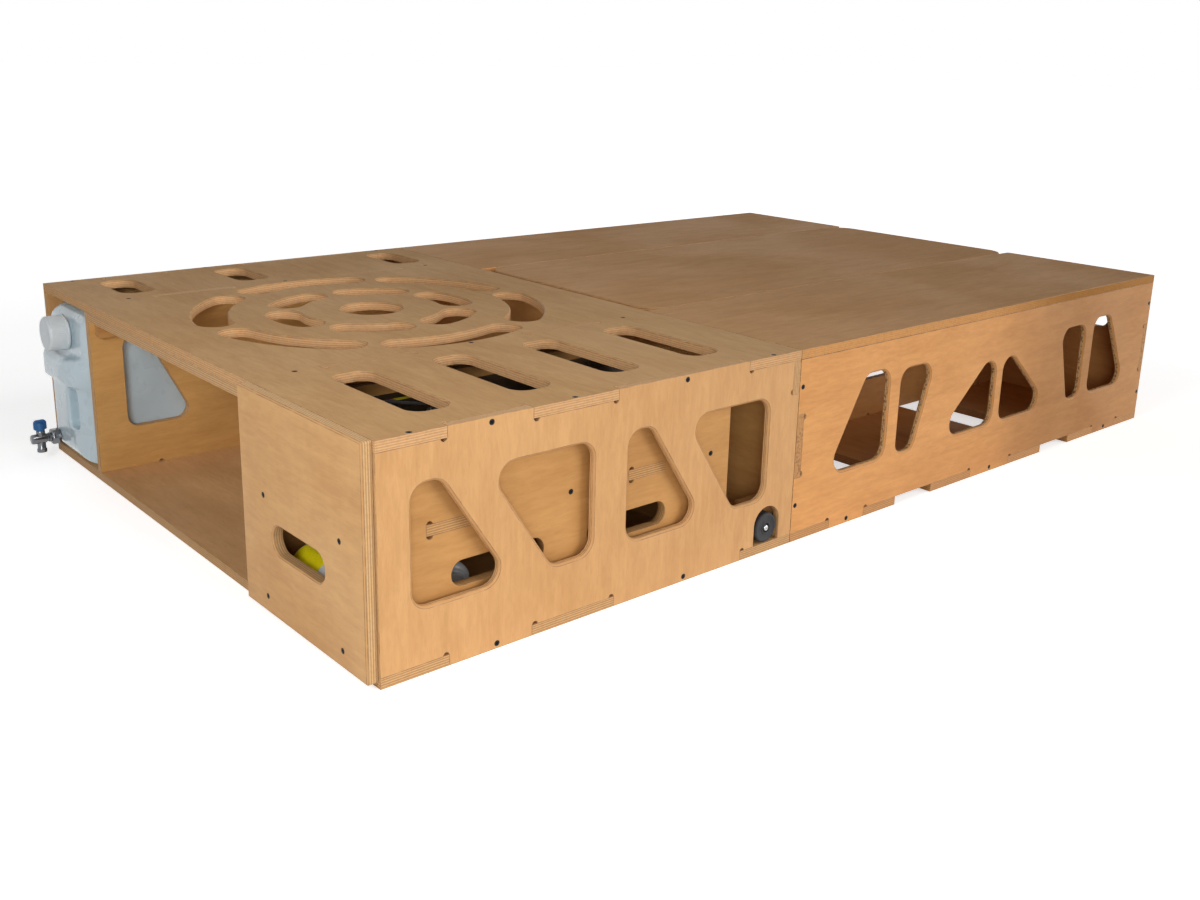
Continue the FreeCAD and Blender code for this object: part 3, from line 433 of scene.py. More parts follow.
def plyMaterial(name, values, low, high, order):
    values = {**plyUsual, **values}
    through, grain, tone = values["through"], values["grain"], plyTones[values["tone"]]
    material = bpy.data.materials.new(name)
    material.use_nodes = True
    tree = material.node_tree
    shader = tree.nodes["Principled BSDF"]
    place = tree.nodes.new("ShaderNodeTexCoord")
    turn = [math.radians(a) for a in sheetTurns[(through, grain)]]
    sheet = tree.nodes.new("ShaderNodeMapping")
    sheet.inputs["Rotation"].default_value = turn
    start = high[0] if through == "x" else -low[axisNumber[through]]
    stepAlong, stepAcross = plyTones["sheetStep"]
    sheet.inputs["Location"].default_value = (stepAlong * order, stepAcross * order, start)
    facing = tree.nodes.new("ShaderNodeMapping")
    facing.vector_type = "VECTOR"
    facing.inputs["Rotation"].default_value = turn
    wood = tree.nodes.new("ShaderNodeGroup")
    wood.node_tree = plyGroup
    plies = round(values["thickness"] / plyTones["veneer"])
    edge = plyTones["chipped"] if values["chips"] > plyTones["chippedFrom"] else tone["edge"]
    for field, value in (("Thickness", values["thickness"]), ("Plies", plies), ("Face", tone["face"]),
                         ("Figure", tone["figure"]), ("Edge", edge), ("Glue", plyTones["glue"]),
                         ("Chips", values["chips"]), ("Contrast", plyTones["contrast"]),
                         ("Wave", values["wave"]), ("Lines", values["lines"])):
        wood.inputs[field].default_value = value
    shader.inputs["Specular IOR Level"].default_value = tone["shine"]
    colour = wood.outputs["Color"]
    # the bench's outside and the lid's long edges are painted darker and greyer along their length
    if "darkAlong" in values:
        share = alongDarkShare(tree, place, values["darkAlong"])
        colour = blendColour(tree, share, colour, plyTones["darkAlong"], "MULTIPLY")
    bump = tree.nodes.new("ShaderNodeBump")
    bump.inputs["Strength"].default_value = plyTones["bumpStrength"]
    bump.inputs["Distance"].default_value = plyTones["bump"]
    linkNodes(tree, [
        (place.outputs["Object"], sheet.inputs["Vector"]),
        (place.outputs["Normal"], facing.inputs["Vector"]),
        (sheet.outputs[0], wood.inputs["Sheet"]),
        (facing.outputs[0], wood.inputs["Facing"]),
        (colour, shader.inputs["Base Color"]),
        (wood.outputs["Roughness"], shader.inputs["Roughness"]),
        (wood.outputs["Height"], bump.inputs["Height"]),
        (bump.outputs[0], shader.inputs["Normal"]),
    ])
    return material


# the broken edges between the sheets
seam = {
    "patches": (60.0, 3.0, 0.6),
    "reach": (0.35, 0.7),
    "dark": (0.27, 0.13, 0.05, 1),
    "light": (0.48, 0.27, 0.11, 1),
    "rough": 0.6,
}


def makeSeamMaterial():
    material = bpy.data.materials.new("birchSeam")
    material.use_nodes = True
    tree = material.node_tree
    shader = tree.nodes["Principled BSDF"]
    place = tree.nodes.new("ShaderNodeTexCoord")
    worn = ramp(tree, noise(tree, place.outputs["Object"], *seam["patches"]), *seam["reach"])
    putIn(tree, blendColour(tree, worn, seam["dark"], seam["light"]), shader.inputs["Base Color"])
    shader.inputs["Roughness"].default_value = seam["rough"]
    return material


seamMaterial = makeSeamMaterial()

# every plywood piece: thickness axis, grain axis, tone
plySheets = {
    "top_panel": {"through": "z", "grain": "y", "tone": "deck", "lines": 0.5},
    # the floor takes the lighter bay tone, painted light standing in for the shade in the middle bay
    "floor_panel": {"through": "z", "grain": "y", "tone": "bay"},
    "right_side_panel": {"through": "y", "grain": "z", "tone": "side"},
    "left_side_panel": {"through": "y", "grain": "z", "tone": "side"},
    "back_panel": {"through": "x", "grain": "y", "tone": "wall"},
    "drawer_divider": {"through": "y", "grain": "x", "tone": "inside"},
    "canister_divider": {"through": "y", "grain": "x", "tone": "wall"},
    "front_stiffener": {"through": "z", "grain": "y", "tone": "side"},
    "stiffener_cleats": {"through": "y", "grain": "x", "tone": "inside", "thickness": 0.012},
    "right_roller_block": {"through": "y", "grain": "x", "tone": "inside", "thickness": 0.022},
    "left_roller_block": {"through": "y", "grain": "x", "tone": "inside", "thickness": 0.022},
    "drawer_front": {"through": "x", "grain": "y", "tone": "front", "wave": 0.14},
    "drawer_inner_front": {"through": "x", "grain": "y", "tone": "inside"},
    "drawer_right_wall": {"through": "y", "grain": "x", "tone": "inside"},
    "drawer_left_wall": {"through": "y", "grain": "x", "tone": "inside"},
    "drawer_back": {"through": "x", "grain": "y", "tone": "inside"},
    "drawer_floor": {"through": "z", "grain": "x", "tone": "inside", "thickness": 0.009},
    "drawer_shelf": {"through": "z", "grain": "x", "tone": "inside"},
    "middle_board": {"through": "z", "grain": "x", "tone": "lid"},
}
benchSheets = {
    "outer_side": {"through": "y", "grain": "x", "tone": "bench", "chips": 0.9,
                   "darkAlong": (0.86, 1.16, 1.6)},
    "inner_side": {"through": "y", "grain": "x", "tone": "bench", "chips": 0.9},
    "near_end": {"through": "x", "grain": "y", "tone": "bench", "chips": 0.5},
    "far_end": {"through": "x", "grain": "y", "tone": "bench", "chips": 0.5},
    "near_floor_board": {"through": "z", "grain": "y", "tone": "bench"},
    "middle_floor_board": {"through": "z", "grain": "y", "tone": "bench"},
    "far_floor_board": {"through": "z", "grain": "y", "tone": "bench"},
    "ledger": {"through": "z", "grain": "x", "tone": "bench"},
    "lid": {"through": "z", "grain": "x", "tone": "lid", "lines": 0.25, "darkAlong": (0.86, 1.16, 1.6)},
    "lid_battens": {"through": "z", "grain": "y", "tone": "bench"},
}
for side in ("right", "left"):
    for part, values in benchSheets.items():
        plySheets[side + "_bench_" + part] = values


def onlyThis(piece):
    bpy.ops.object.select_all(action="DESELECT")
    piece.select_set(True)
    bpy.context.view_layer.objects.active = piece


def smoothBy(degrees):
    bpy.ops.object.shade_smooth_by_angle(angle=math.radians(degrees))


merging = {"distance": 0.00001, "angle": 0.3}


def mergedCopy(nodeName, name):
    # a copy of the solid with its doubles merged and its flat faces whole again
    piece = bpy.data.objects.new(name, nodes[nodeName].data.copy())
    scene.collection.objects.link(piece)
    onlyThis(piece)
    if piece.data.has_custom_normals:
        bpy.ops.mesh.customdata_custom_splitnormals_clear()
    bpy.ops.object.mode_set(mode="EDIT")
    bpy.ops.mesh.select_all(action="SELECT")
    bpy.ops.mesh.remove_doubles(threshold=merging["distance"])
    bpy.ops.mesh.dissolve_limited(angle_limit=math.radians(merging["angle"]))
    bpy.ops.object.mode_set(mode="OBJECT")
    return piece


edgeBreak = {"width": 0.0005, "segments": 2, "angle": 35, "smooth": 30, "flat": 0.9999}


def plyPiece(nodeName, values, order):
    # the solid with every sharp edge broken; its flat faces stay flat
    source = nodes[nodeName]
    piece = mergedCopy(nodeName, nodeName + "_birch")
    low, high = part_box(nodeName)
    piece.data.materials.clear()
    piece.data.materials.append(plyMaterial(nodeName + "_ply", values, low, high, order))
    piece.data.materials.append(seamMaterial)
    for face in piece.data.polygons:
        face.material_index = 0
    bevel = piece.modifiers.new("edgeBreak", "BEVEL")
    bevel.width = edgeBreak["width"]
    bevel.segments = edgeBreak["segments"]
    bevel.limit_method = "ANGLE"
    bevel.angle_limit = math.radians(edgeBreak["angle"])
    bevel.use_clamp_overlap = False
    bevel.material = 1
    bpy.ops.object.modifier_apply(modifier="edgeBreak")
    smoothBy(edgeBreak["smooth"])
    for face in piece.data.polygons:
        if max(abs(part) for part in face.normal) > edgeBreak["flat"]:
            face.use_smooth = False
    for corner in piece.data.vertices:  # a broken edge stays inside the solid's box
        corner.co = [min(max(part, least), most) for part, least, most in zip(corner.co, low, high)]
    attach(piece, source["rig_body"])
    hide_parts(nodeName)


for order, (nodeName, values) in enumerate(plySheets.items()):
    plyPiece(nodeName, values, order)
print("plywood laid out,", len(plySheets), "sheets")


# finish of the small parts: clouded colour, worn patches, brushed or moulded surface
finishMarks = {
    "cloud": {"noise": (3.0, 0.6, 0.4), "reach": (0.35, 0.72), "relief": 0.3},
    "brush": {"noise": (3.0, 0.65)},
    "speck": {"finer": 9.0, "detail": 1.0, "reach": (0.62, 0.7), "share": 0.5},
    "gloss": {"share": 0.5, "reach": (0.3, 0.7)},
}


def makeFinishGroup():
    group, given, result = newGroup("smallPartFinish", [
        ("Place", "Vector", (0, 0, 0)), ("Tone", "Color", (0.5, 0.5, 0.5, 1)),
        ("Worn", "Color", (0.6, 0.6, 0.6, 1)), ("Scale", "Float", 90.0), ("Wear", "Float", 0.3),
        ("Brush", "Vector", (400, 400, 400)), ("Smooth", "Float", 0.3), ("Dull", "Float", 0.5),
    ], [("Color", "Color"), ("Roughness", "Float"), ("Height", "Float")])
    place = given["Place"]
    clouding, specks, gloss = finishMarks["cloud"], finishMarks["speck"], finishMarks["gloss"]
    cloud = noise(group, place, given["Scale"], *clouding["noise"])
    brush = noise(group, stretch(group, place, given["Brush"]), 1.0, *finishMarks["brush"]["noise"])
    fineScale = math1(group, "MULTIPLY", given["Scale"], specks["finer"])
    fine = noise(group, place, fineScale, specks["detail"])
    speck = math1(group, "MULTIPLY", ramp(group, fine, *specks["reach"]), specks["share"])
    worn = math1(group, "ADD", ramp(group, cloud, *clouding["reach"]), speck)
    worn = math1(group, "MULTIPLY", worn, given["Wear"])
    putIn(group, blendColour(group, worn, given["Tone"], given["Worn"]), result["Color"])
    rough = math1(group, "MULTIPLY", math1(group, "ADD", brush, cloud), gloss["share"])
    rough = ramp(group, rough, *gloss["reach"], given["Smooth"], given["Dull"])
    putIn(group, rough, result["Roughness"])
    putIn(group, math1(group, "MULTIPLY_ADD", cloud, clouding["relief"], brush), result["Height"])
    return group


finishGroup = makeFinishGroup()

finishes = {
    "blackScrew": {"tone": (0.01, 0.01, 0.011, 1), "worn": (0.03, 0.028, 0.026, 1),
                   "smooth": 0.4, "dull": 0.65, "shine": 0.12},
    "zinc": {"tone": (0.56, 0.57, 0.58, 1), "worn": (0.34, 0.35, 0.36, 1),
             "metallic": 1.0, "smooth": 0.22, "dull": 0.42},
    "rubber": {"tone": (0.022, 0.023, 0.025, 1), "worn": (0.06, 0.06, 0.062, 1),
               "scale": 60.0, "smooth": 0.5, "dull": 0.75, "shine": 0.25},
    "glide": {"tone": (0.62, 0.6, 0.55, 1), "worn": (0.45, 0.42, 0.36, 1),
              "scale": 40.0, "smooth": 0.3, "dull": 0.5},
    "enamel": {"tone": (0.008, 0.008, 0.009, 1), "worn": (0.022, 0.021, 0.02, 1),
               "scale": 24.0, "smooth": 0.3, "dull": 0.5, "shine": 0.2},
    "wire": {"tone": (0.018, 0.018, 0.019, 1), "worn": (0.07, 0.06, 0.05, 1),
             "scale": 160.0, "smooth": 0.4, "dull": 0.65},
    "burner": {"tone": (0.5, 0.5, 0.49, 1), "worn": (0.2, 0.17, 0.14, 1),
               "metallic": 1.0, "smooth": 0.3, "dull": 0.55},
    "knob": {"tone": (0.02, 0.02, 0.022, 1), "worn": (0.05, 0.05, 0.05, 1),
             "smooth": 0.35, "dull": 0.55},
    "canister": {"tone": (0.52, 0.63, 0.68, 1), "worn": (0.42, 0.52, 0.57, 1),
                 "scale": 7.0, "wear": 0.7, "brush": (12, 12, 12),
                 "smooth": 0.22, "dull": 0.34, "coat": 0.6},
    "cap": {"tone": (0.64, 0.68, 0.7, 1), "worn": (0.54, 0.59, 0.62, 1),
            "scale": 30.0, "smooth": 0.34, "dull": 0.5},
    "chrome": {"tone": (0.17, 0.175, 0.185, 1), "worn": (0.1, 0.105, 0.11, 1),
               "metallic": 1.0, "scale": 50.0, "smooth": 0.1, "dull": 0.28},
    "lever": {"tone": (0.008, 0.085, 0.25, 1), "worn": (0.02, 0.13, 0.33, 1),
              "smooth": 0.3, "dull": 0.5},
    "canPaint": {"tone": (0.72, 0.74, 0.74, 1), "worn": (0.55, 0.57, 0.58, 1),
                 "scale": 30.0, "smooth": 0.2, "dull": 0.36, "coat": 0.3},
}
finishUsual = {
    "metallic": 0.0, "coat": 0.0, "shine": 0.5, "scale": 90.0, "wear": 0.4, "brush": (500, 500, 500),
    "bump": 0.00004, "bumpStrength": 0.4, "bandBlur": 0.0003,
}


def finishMaterial(name, values, bands=()):
    values = {**finishUsual, **values}
    material = bpy.data.materials.new(name)
    material.use_nodes = True
    tree = material.node_tree
    shader = tree.nodes["Principled BSDF"]
    shader.inputs["Metallic"].default_value = values["metallic"]
    shader.inputs["Coat Weight"].default_value = values["coat"]
    shader.inputs["Specular IOR Level"].default_value = values["shine"]
    place = tree.nodes.new("ShaderNodeTexCoord")
    surface = tree.nodes.new("ShaderNodeGroup")
    surface.node_tree = finishGroup
    for field in ("Tone", "Worn", "Scale", "Wear", "Brush", "Smooth", "Dull"):
        surface.inputs[field].default_value = values[field.lower()]
    colour = surface.outputs["Color"]
    spread = tree.nodes.new("ShaderNodeSeparateXYZ")
    putIn(tree, place.outputs["Object"], spread.inputs[0])
    for band in bands:
        inside = 1.0
        for axis, (start, end) in band["span"].items():
            along = spread.outputs[axis.upper()]
            begun = ramp(tree, along, start - values["bandBlur"], start + values["bandBlur"])
            going = ramp(tree, along, end - values["bandBlur"], end + values["bandBlur"], 1.0, 0.0)
            inside = math1(tree, "MULTIPLY", inside, math1(tree, "MULTIPLY", begun, going))
        colour = blendColour(tree, inside, colour, band["colour"])
    bump = tree.nodes.new("ShaderNodeBump")
    bump.inputs["Strength"].default_value = values["bumpStrength"]
    bump.inputs["Distance"].default_value = values["bump"]
    linkNodes(tree, [
        (place.outputs["Object"], surface.inputs["Place"]),
        (colour, shader.inputs["Base Color"]),
        (surface.outputs["Roughness"], shader.inputs["Roughness"]),
        (surface.outputs["Height"], bump.inputs["Height"]),
        (bump.outputs[0], shader.inputs["Normal"]),
    ])
    return material


finish = {name: finishMaterial(name, values) for name, values in finishes.items()}


# modelling helpers: everything is drawn round the z axis and then settled in its place
def pick(piece, test):
    onlyThis(piece)
    bpy.ops.object.mode_set(mode="EDIT")
    bpy.ops.mesh.select_mode(type="FACE")
    bpy.ops.mesh.select_all(action="DESELECT")
    bpy.ops.object.mode_set(mode="OBJECT")
    for face in piece.data.polygons:
        face.select = test(face.center, face.normal)
    bpy.ops.object.mode_set(mode="EDIT")


def turned(name, profile, sides=48, hollow=False):
    # a circle drawn out ring by ring, as on a lathe: (radius, height) in millimetres
    bpy.ops.object.select_all(action="DESELECT")
    radius, height = [value / 1000 for value in profile[0]]
    fill = "NOTHING" if hollow else "NGON"
    bpy.ops.mesh.primitive_circle_add(vertices=sides, radius=radius, fill_type=fill)
    piece = bpy.context.object
    piece.name = name
    bpy.ops.object.mode_set(mode="EDIT")
    bpy.ops.mesh.select_mode(type="VERT")
    bpy.ops.mesh.select_all(action="SELECT")
    bpy.ops.transform.translate(value=(0, 0, height))
    for ring in profile[1:]:
        nextRadius, nextHeight = [value / 1000 for value in ring]
        bpy.ops.mesh.extrude_region_move(TRANSFORM_OT_translate={"value": (0, 0, nextHeight - height)})
        share = nextRadius / radius
        bpy.ops.transform.resize(value=(share, share, 1), center_override=(0, 0, nextHeight))
        radius, height = nextRadius, nextHeight
    bpy.ops.mesh.select_all(action="SELECT")
    bpy.ops.mesh.remove_doubles(threshold=0.000002)
    bpy.ops.mesh.normals_make_consistent(inside=False)
    bpy.ops.object.mode_set(mode="OBJECT")
    return piece


def ribbed(piece, low, high, thickness, depth):
    # every second side face between two heights is sunk a little
    steepest = 0.3
    turns = set()

    def turnOf(centre):
        return round(math.atan2(centre.y, centre.x), 3)

    def onWall(centre, normal):
        if abs(normal.z) > steepest or not low / 1000 < centre.z < high / 1000:
            return False
        turns.add(turnOf(centre))
        return True

    pick(piece, onWall)
    bpy.ops.object.mode_set(mode="OBJECT")
    order = {turn: number for number, turn in enumerate(sorted(turns))}
    for face in piece.data.polygons:
        if face.select:
            face.select = order[turnOf(face.center)] % 2 == 0
    bpy.ops.object.mode_set(mode="EDIT")
    bpy.ops.mesh.inset(thickness=thickness / 1000, depth=-depth / 1000, use_individual=True)
    bpy.ops.object.mode_set(mode="OBJECT")


def soften(piece, width, segments=3, angle=35, smooth=35):
    onlyThis(piece)
    bevel = piece.modifiers.new("soften", "BEVEL")
    bevel.width = width / 1000
    bevel.segments = segments
    bevel.limit_method = "ANGLE"
    bevel.angle_limit = math.radians(angle)
    bpy.ops.object.modifier_apply(modifier="soften")
    smoothBy(smooth)


def settle(piece, place, along=(0, 0, 1)):
    onlyThis(piece)
    piece.rotation_euler = Vector((0, 0, 1)).rotation_difference(Vector(along)).to_euler()
    piece.location = place
    bpy.ops.object.transform_apply(location=True, rotation=True, scale=True)


def dress(piece, material, nodeNames):
    piece.data.materials.clear()
    piece.data.materials.append(material)
    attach(piece, nodes[nodeNames[0]]["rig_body"])
    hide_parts(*nodeNames)


def joinPieces(name, pieces):
    bpy.ops.object.select_all(action="DESELECT")
    for piece in pieces:
        piece.select_set(True)
    bpy.context.view_layer.objects.active = pieces[0]
    if len(pieces) > 1:
        bpy.ops.object.join()
    whole = bpy.context.view_layer.objects.active
    whole.name = name
    return whole


def middleOf(nodeName):
    low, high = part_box(nodeName)
    return (Vector(low) + Vector(high)) / 2


# black countersunk screws with a six-lobed recess, one modelled and set in every place
screwShape = {
    "profile": [(0.3, -31.8), (1.5, -27), (2.0, -25), (2.0, -3.4), (3.8, -0.35), (3.88, -0.05),
                (3.7, 0), (1.75, 0), (1.45, -1.9)],
    "sides": 24,
    "recess": 1.8,
    "slack": 0.0001,
    "lobe": 0.72,
    "smooth": 32,
    "twist": 0.7,
    "rimShare": 0.9,
}


def modelScrew():
    screw = turned("screwBlank", screwShape["profile"], screwShape["sides"])
    recessFloor = screwShape["profile"][-1][1] / 1000 - screwShape["slack"]
    # pull in two of every four corners of the recess, from rim to floor, to make its six lobes
    onlyThis(screw)
    bpy.ops.object.mode_set(mode="EDIT")
    bpy.ops.mesh.select_mode(type="VERT")
    bpy.ops.mesh.select_all(action="DESELECT")
    bpy.ops.object.mode_set(mode="OBJECT")
    step = 2 * math.pi / screwShape["sides"]
    for corner in screw.data.vertices:
        far = math.hypot(corner.co.x, corner.co.y) * 1000
        inRecess = far < screwShape["recess"] and corner.co.z > recessFloor
        corner.select = inRecess and round(math.atan2(corner.co.y, corner.co.x) / step) % 4 in (0, 1)
    bpy.ops.object.mode_set(mode="EDIT")
    bpy.ops.transform.resize(value=(screwShape["lobe"], screwShape["lobe"], 1), center_override=(0, 0, 0))
    bpy.ops.object.mode_set(mode="OBJECT")
    smoothBy(screwShape["smooth"])
    return screw


def screwPlaces(nodeName):
    # head point and direction of each screw in a group
    helper = mergedCopy(nodeName, nodeName + "_places")
    bpy.ops.object.mode_set(mode="EDIT")
    bpy.ops.mesh.select_all(action="SELECT")
    bpy.ops.mesh.separate(type="LOOSE")
    bpy.ops.object.mode_set(mode="OBJECT")
    places = []
    for part in list(bpy.context.selected_objects):
        points = [corner.co.copy() for corner in part.data.vertices]
        low = Vector([min(point[i] for point in points) for i in range(3)])
        high = Vector([max(point[i] for point in points) for i in range(3)])
        middle = (low + high) / 2
        long = max(range(3), key=lambda i: high[i] - low[i])
        spread = [(point - middle).length_squared - (point[long] - middle[long]) ** 2 for point in points]
        widest = screwShape["rimShare"] * max(spread)
        rim = [point for point, far in zip(points, spread) if far > widest]
        headUp = sum(point[long] for point in rim) / len(rim) > middle[long]
        head = middle.copy()
        head[long] = high[long] if headUp else low[long]
        way = Vector((0, 0, 0))
        way[long] = 1 if headUp else -1
        places.append((head, way))
        bpy.data.objects.remove(part)
    return places


def setScrews():
    blank = modelScrew()
    total = 0
    for nodeName in ("base_screws", "drawer_screws", "bench_screws"):
        copies = []
        for number, (head, way) in enumerate(screwPlaces(nodeName)):
            single = bpy.data.objects.new(nodeName + "_single", blank.data.copy())
            scene.collection.objects.link(single)
            twist = Matrix.Rotation(screwShape["twist"] * number, 4, "Z")
            turn = Vector((0, 0, 1)).rotation_difference(way).to_matrix().to_4x4()
            single.data.transform(Matrix.Translation(head) @ turn @ twist)
            copies.append(single)
        total += len(copies)
        whole = joinPieces(nodeName + "_set", copies)
        dress(whole, finish["blackScrew"], [nodeName])
    bpy.data.objects.remove(blank)
    return total


print("screws set,", setScrews())

# rubber rollers on a zinc pan screw and washer
rollerShape = {
    "rim": [(3.05, 0), (17.5, 0), (18.2, 0.5), (21.2, 0.5), (22.6, 0.9), (23.6, 1.9), (24, 3.4),
            (24, 9.2), (23.5, 9.8), (23.5, 10.2), (24, 10.8), (24, 16.6), (23.6, 18.1), (22.6, 19.1),
            (21.2, 19.6), (19.8, 19.6), (19.2, 19.2), (10.4, 19.2), (9.6, 20), (8.2, 20), (7.5, 19.4),
            (7.5, 16), (3.05, 16), (3.05, 0)],
    "screw": [(3, -38.4), (3, 0), (4.45, 0), (4.5, 0.5), (4.45, 1.9), (4.0, 2.8), (3.2, 3.3),
              (2.1, 3.4), (1.5, 1.6)],
    "washer": [(3, 0), (6.2, 0), (6.5, 0.3), (6.5, 1.4), (6.2, 1.7), (3, 1.7), (3, 0)],
    "recessFloor": 0.0163,
    "washerHigh": 0.0017,
}


def makeRollers():
    heads, washers = [], []
    for side, outward in (("right", -1), ("left", 1)):
        nodeName = side + "_roller"
        low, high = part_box(nodeName)
        middle = middleOf(nodeName)
        inner = Vector((middle.x, high[1] if outward < 0 else low[1], middle.z))
        way = Vector((0, outward, 0))
        wheel = turned(nodeName + "_wheel", rollerShape["rim"], sides=64, hollow=True)
        smoothBy(40)
        settle(wheel, inner, way)
        dress(wheel, finish["rubber"], [nodeName])
        recessFloor = inner + way * rollerShape["recessFloor"]
        head = turned(nodeName + "_screw", rollerShape["screw"], sides=32)
        smoothBy(35)
        settle(head, recessFloor + way * rollerShape["washerHigh"], way)
        heads.append(head)
        washer = turned(nodeName + "_washer", rollerShape["washer"], sides=32, hollow=True)
        smoothBy(35)
        settle(washer, recessFloor, way)
        washers.append(washer)
    dress(joinPieces("roller_axles_set", heads), finish["zinc"], ["roller_axles"])
    dress(joinPieces("roller_washers_set", washers), finish["rubber"], ["roller_washers"])


makeRollers()
print("rollers fitted")

# the stove: pressed tray with a plain stripe, burners with ports, wire grids, ribbed knobs
stoveShape = {
    "stripe": {"x": (-0.214, -0.16), "y": (-0.321, -0.311)},
    "stripeColours": ((0.8, 0.62, 0.02, 1), (0.62, 0.16, 0.03, 1), (0.8, 0.66, 0.02, 1)),
    "stripeSplits": (0.0, 0.22, 0.5, 1.0),
    "burner": [(22.6, 3.3), (22.6, 6.8), (24, 7), (31, 6.6), (33, 5.6), (33, 2.2), (36.5, 1.6),
               (38, 1.2), (38, 0), (20, 0)],
    "bowl": [(22.6, 3.5), (21, 3.2), (9, 3.2), (8.4, 4.6), (7.2, 5.2), (2.4, 5.2), (2, 4.4)],
    "ports": (2.4, 5.5, 0.4, 1.2),
    "knob": [(4.1, 4), (4.1, 0), (12.6, 0), (13, 0.4), (13, 1.4), (11.6, 1.8), (11.2, 7.2),
             (10.6, 8), (1.2, 8), (1, 7.6)],
    "knobRibs": (1.9, 7.1, 0.15, 0.5),
    "trayRound": 0.6,
    "wireRound": 1.5,
}


def makeStove():
    startX, endX = stoveShape["stripe"]["x"]
    places = [startX + (endX - startX) * share for share in stoveShape["stripeSplits"]]
    bands = [{"span": {"x": span, "y": stoveShape["stripe"]["y"]}, "colour": colour}
             for span, colour in zip(zip(places, places[1:]), stoveShape["stripeColours"])]
    tray = mergedCopy("stove_body", "stove_tray")
    soften(tray, stoveShape["trayRound"])
    enamel = finishMaterial("stoveEnamel", finishes["enamel"], bands)
    dress(tray, enamel, ["stove_body"])
    grids = mergedCopy("stove_grids", "stove_wire")
    soften(grids, stoveShape["wireRound"])
    dress(grids, finish["wire"], ["stove_grids"])
    low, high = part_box("stove_burners")
    reach = (high[1] - low[1]) / 2
    burners = []
    for x in (low[0] + reach, high[0] - reach):
        ring = turned("burnerRing", stoveShape["burner"], sides=64)
        ribbed(ring, *stoveShape["ports"])
        smoothBy(30)
        bowl = turned("burnerBowl", stoveShape["bowl"])
        smoothBy(30)
        burner = joinPieces("burner", [ring, bowl])
        settle(burner, (x, (low[1] + high[1]) / 2, low[2]))
        burners.append(burner)
    burnerSet = joinPieces("stove_burner_set", burners)
    dress(burnerSet, finish["burner"], ["stove_burners"])
    for nodeName in ("near_stove_knob", "far_stove_knob"):
        low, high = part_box(nodeName)
        knob = turned(nodeName + "_ribbed", stoveShape["knob"], sides=60)
        ribbed(knob, *stoveShape["knobRibs"])
        smoothBy(30)
        settle(knob, ((low[0] + high[0]) / 2, (low[1] + high[1]) / 2, low[2]))
        dress(knob, finish["knob"], [nodeName])


makeStove()
print("stove on its shelf")

# gas cartridges: seamed base, straight wall, domed shoulder, collar and valve, plain bands
cartridgeShape = {
    "wall": [(24, 2.6), (29, 2.2), (30.6, 0.2), (32, 0), (32.9, 0.7), (32.9, 2.4), (32.2, 3.4),
             (32.2, 164), (31.6, 167.4), (29.6, 170.4), (26, 172.8), (23.4, 173.6), (22.6, 173.2), (20, 173.6),
             (19.8, 178.6), (19, 179.8), (16.6, 180), (15.6, 178.4), (8.4, 178), (7.9, 179), (7.8, 184.6),
             (7, 185.8), (2.4, 185.8), (2, 184)],
    "bands": {
        "gas_cartridge": {"colour": (0.86, 0.74, 0.008, 1), "span": {"y": (-0.383, -0.3185)}},
        "spare_cartridge": {"colour": (0.3, 0.32, 0.33, 1), "span": {"y": (-0.42, -0.4)}},
    },
}


def makeCartridges():
    for nodeName, band in cartridgeShape["bands"].items():
        low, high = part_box(nodeName)
        can = turned(nodeName + "_can", cartridgeShape["wall"], sides=72)
        smoothBy(30)
        settle(can, ((low[0] + high[0]) / 2, high[1], (low[2] + high[2]) / 2), (0, -1, 0))
        paint = finishMaterial(nodeName + "_paint", finishes["canPaint"], [band])
        dress(can, paint, [nodeName])


makeCartridges()
print("cartridges laid in")

# water canister: a blown skin and a fluted cap
canisterShape = {
    "voxel": 0.0032,
    "relaxSteps": 10,
    "relaxShare": 0.5,
    "cap": [(24.3, 0), (31.2, 0), (31.5, 0.5), (31.5, 3), (30.9, 3.6), (30.6, 29.5), (29.6, 32.2),
            (27.4, 33.8), (26, 34), (24.8, 33.2), (2, 33.2), (2, 31), (24.3, 31), (24.3, 0)],
    "capRibs": (4.0, 29, 0.35, 0.5),
}


def makeCanister():
    skin = mergedCopy("canister_body", "canister_skin")
    blow = skin.modifiers.new("blow", "REMESH")
    blow.mode = "VOXEL"
    blow.voxel_size = canisterShape["voxel"]
    bpy.ops.object.modifier_apply(modifier="blow")
    relax = skin.modifiers.new("relax", "SMOOTH")
    relax.factor = canisterShape["relaxShare"]
    relax.iterations = canisterShape["relaxSteps"]
    bpy.ops.object.modifier_apply(modifier="relax")
    bpy.ops.object.shade_smooth()
    dress(skin, finish["canister"], ["canister_body"])
    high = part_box("canister_cap")[1]
    middle = middleOf("canister_cap")
    cap = turned("cap_fluted", canisterShape["cap"], sides=120, hollow=True)
    ribbed(cap, *canisterShape["capRibs"])
    smoothBy(40)
    settle(cap, (high[0], middle.y, middle.z), (-1, 0, 0))
    dress(cap, finish["cap"], ["canister_cap"])


makeCanister()
print("canister and cap set in the bay")

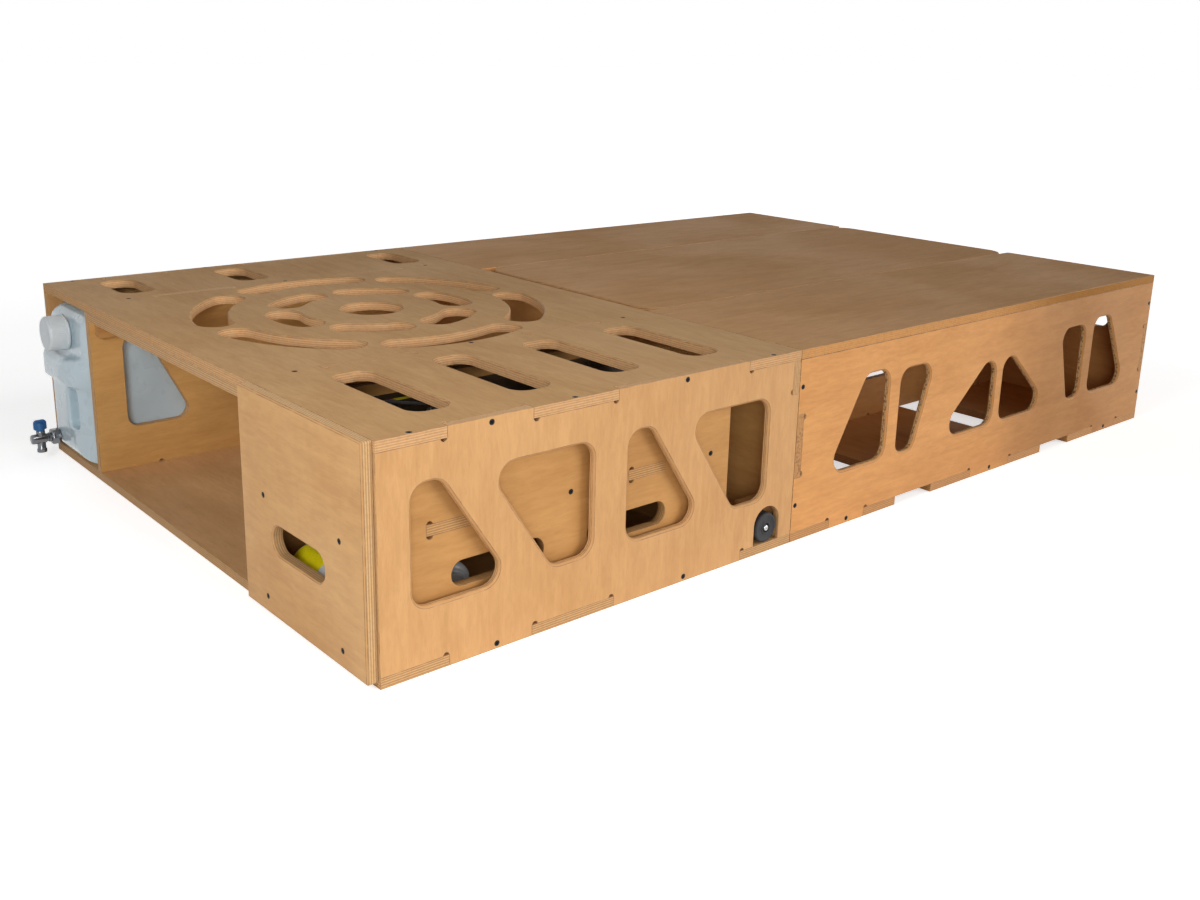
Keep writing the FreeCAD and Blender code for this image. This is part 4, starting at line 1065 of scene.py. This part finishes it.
# the tap lies along the canister's length: six-sided collar, ringed barrel, spout, stem, two-winged lever
tapShape = {
    "collar": [(13.6, 0), (14.9, 0.7), (14.9, 13.6), (13.2, 16)],
    "barrel": [(8.6, 16), (8.6, 20), (7.6, 20.8), (7.6, 24), (9, 25), (9, 46), (8.4, 49.2), (7.2, 50)],
    "spout": [(5.4, 6), (5.4, 0.4), (6, 0), (8.1, 0), (8.5, 0.4), (8.5, 5.4), (7.9, 6), (7.2, 7),
              (7.2, 22), (4, 25)],
    "spoutHigh": 0.025,
    "stem": [(7.2, 0), (7.2, 9), (7.5, 9.4), (7.5, 13.6), (7, 14.7), (4, 14.7), (3.95, 24.8), (3.6, 25)],
    "wingRound": 1.2,
}


def makeTap():
    low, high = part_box("tap_body")
    leverLow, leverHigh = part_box("tap_lever")
    spoutX = (leverLow[0] + leverHigh[0]) / 2
    y = (low[1] + high[1]) / 2
    axisZ = low[2] + tapShape["spoutHigh"]
    collar = turned("tapCollar", tapShape["collar"], sides=6)
    soften(collar, width=0.5, segments=2, angle=20)
    settle(collar, (high[0], y, axisZ), (-1, 0, 0))
    barrel = turned("tapBarrel", tapShape["barrel"], sides=40)
    smoothBy(35)
    settle(barrel, (high[0], y, axisZ), (-1, 0, 0))
    spout = turned("tapSpout", tapShape["spout"], sides=40)
    smoothBy(35)
    settle(spout, (spoutX, y, low[2]))
    stem = turned("tapStem", tapShape["stem"], sides=40)
    smoothBy(35)
    settle(stem, (spoutX, y, axisZ))
    tap = joinPieces("tap_chrome", [collar, barrel, spout, stem])
    dress(tap, finish["chrome"], ["tap_body"])
    lever = mergedCopy("tap_lever", "tap_wings")
    soften(lever, tapShape["wingRound"])
    dress(lever, finish["lever"], ["tap_lever"])


makeTap()
print("tap screwed in")

# the nodes that keep their own solids
for nodeName, kind in (("drawer_glides", "glide"), ("joining_bolts", "zinc"), ("joining_nuts", "zinc")):
    nodes[nodeName].data.materials.clear()
    nodes[nodeName].data.materials.append(finish[kind])
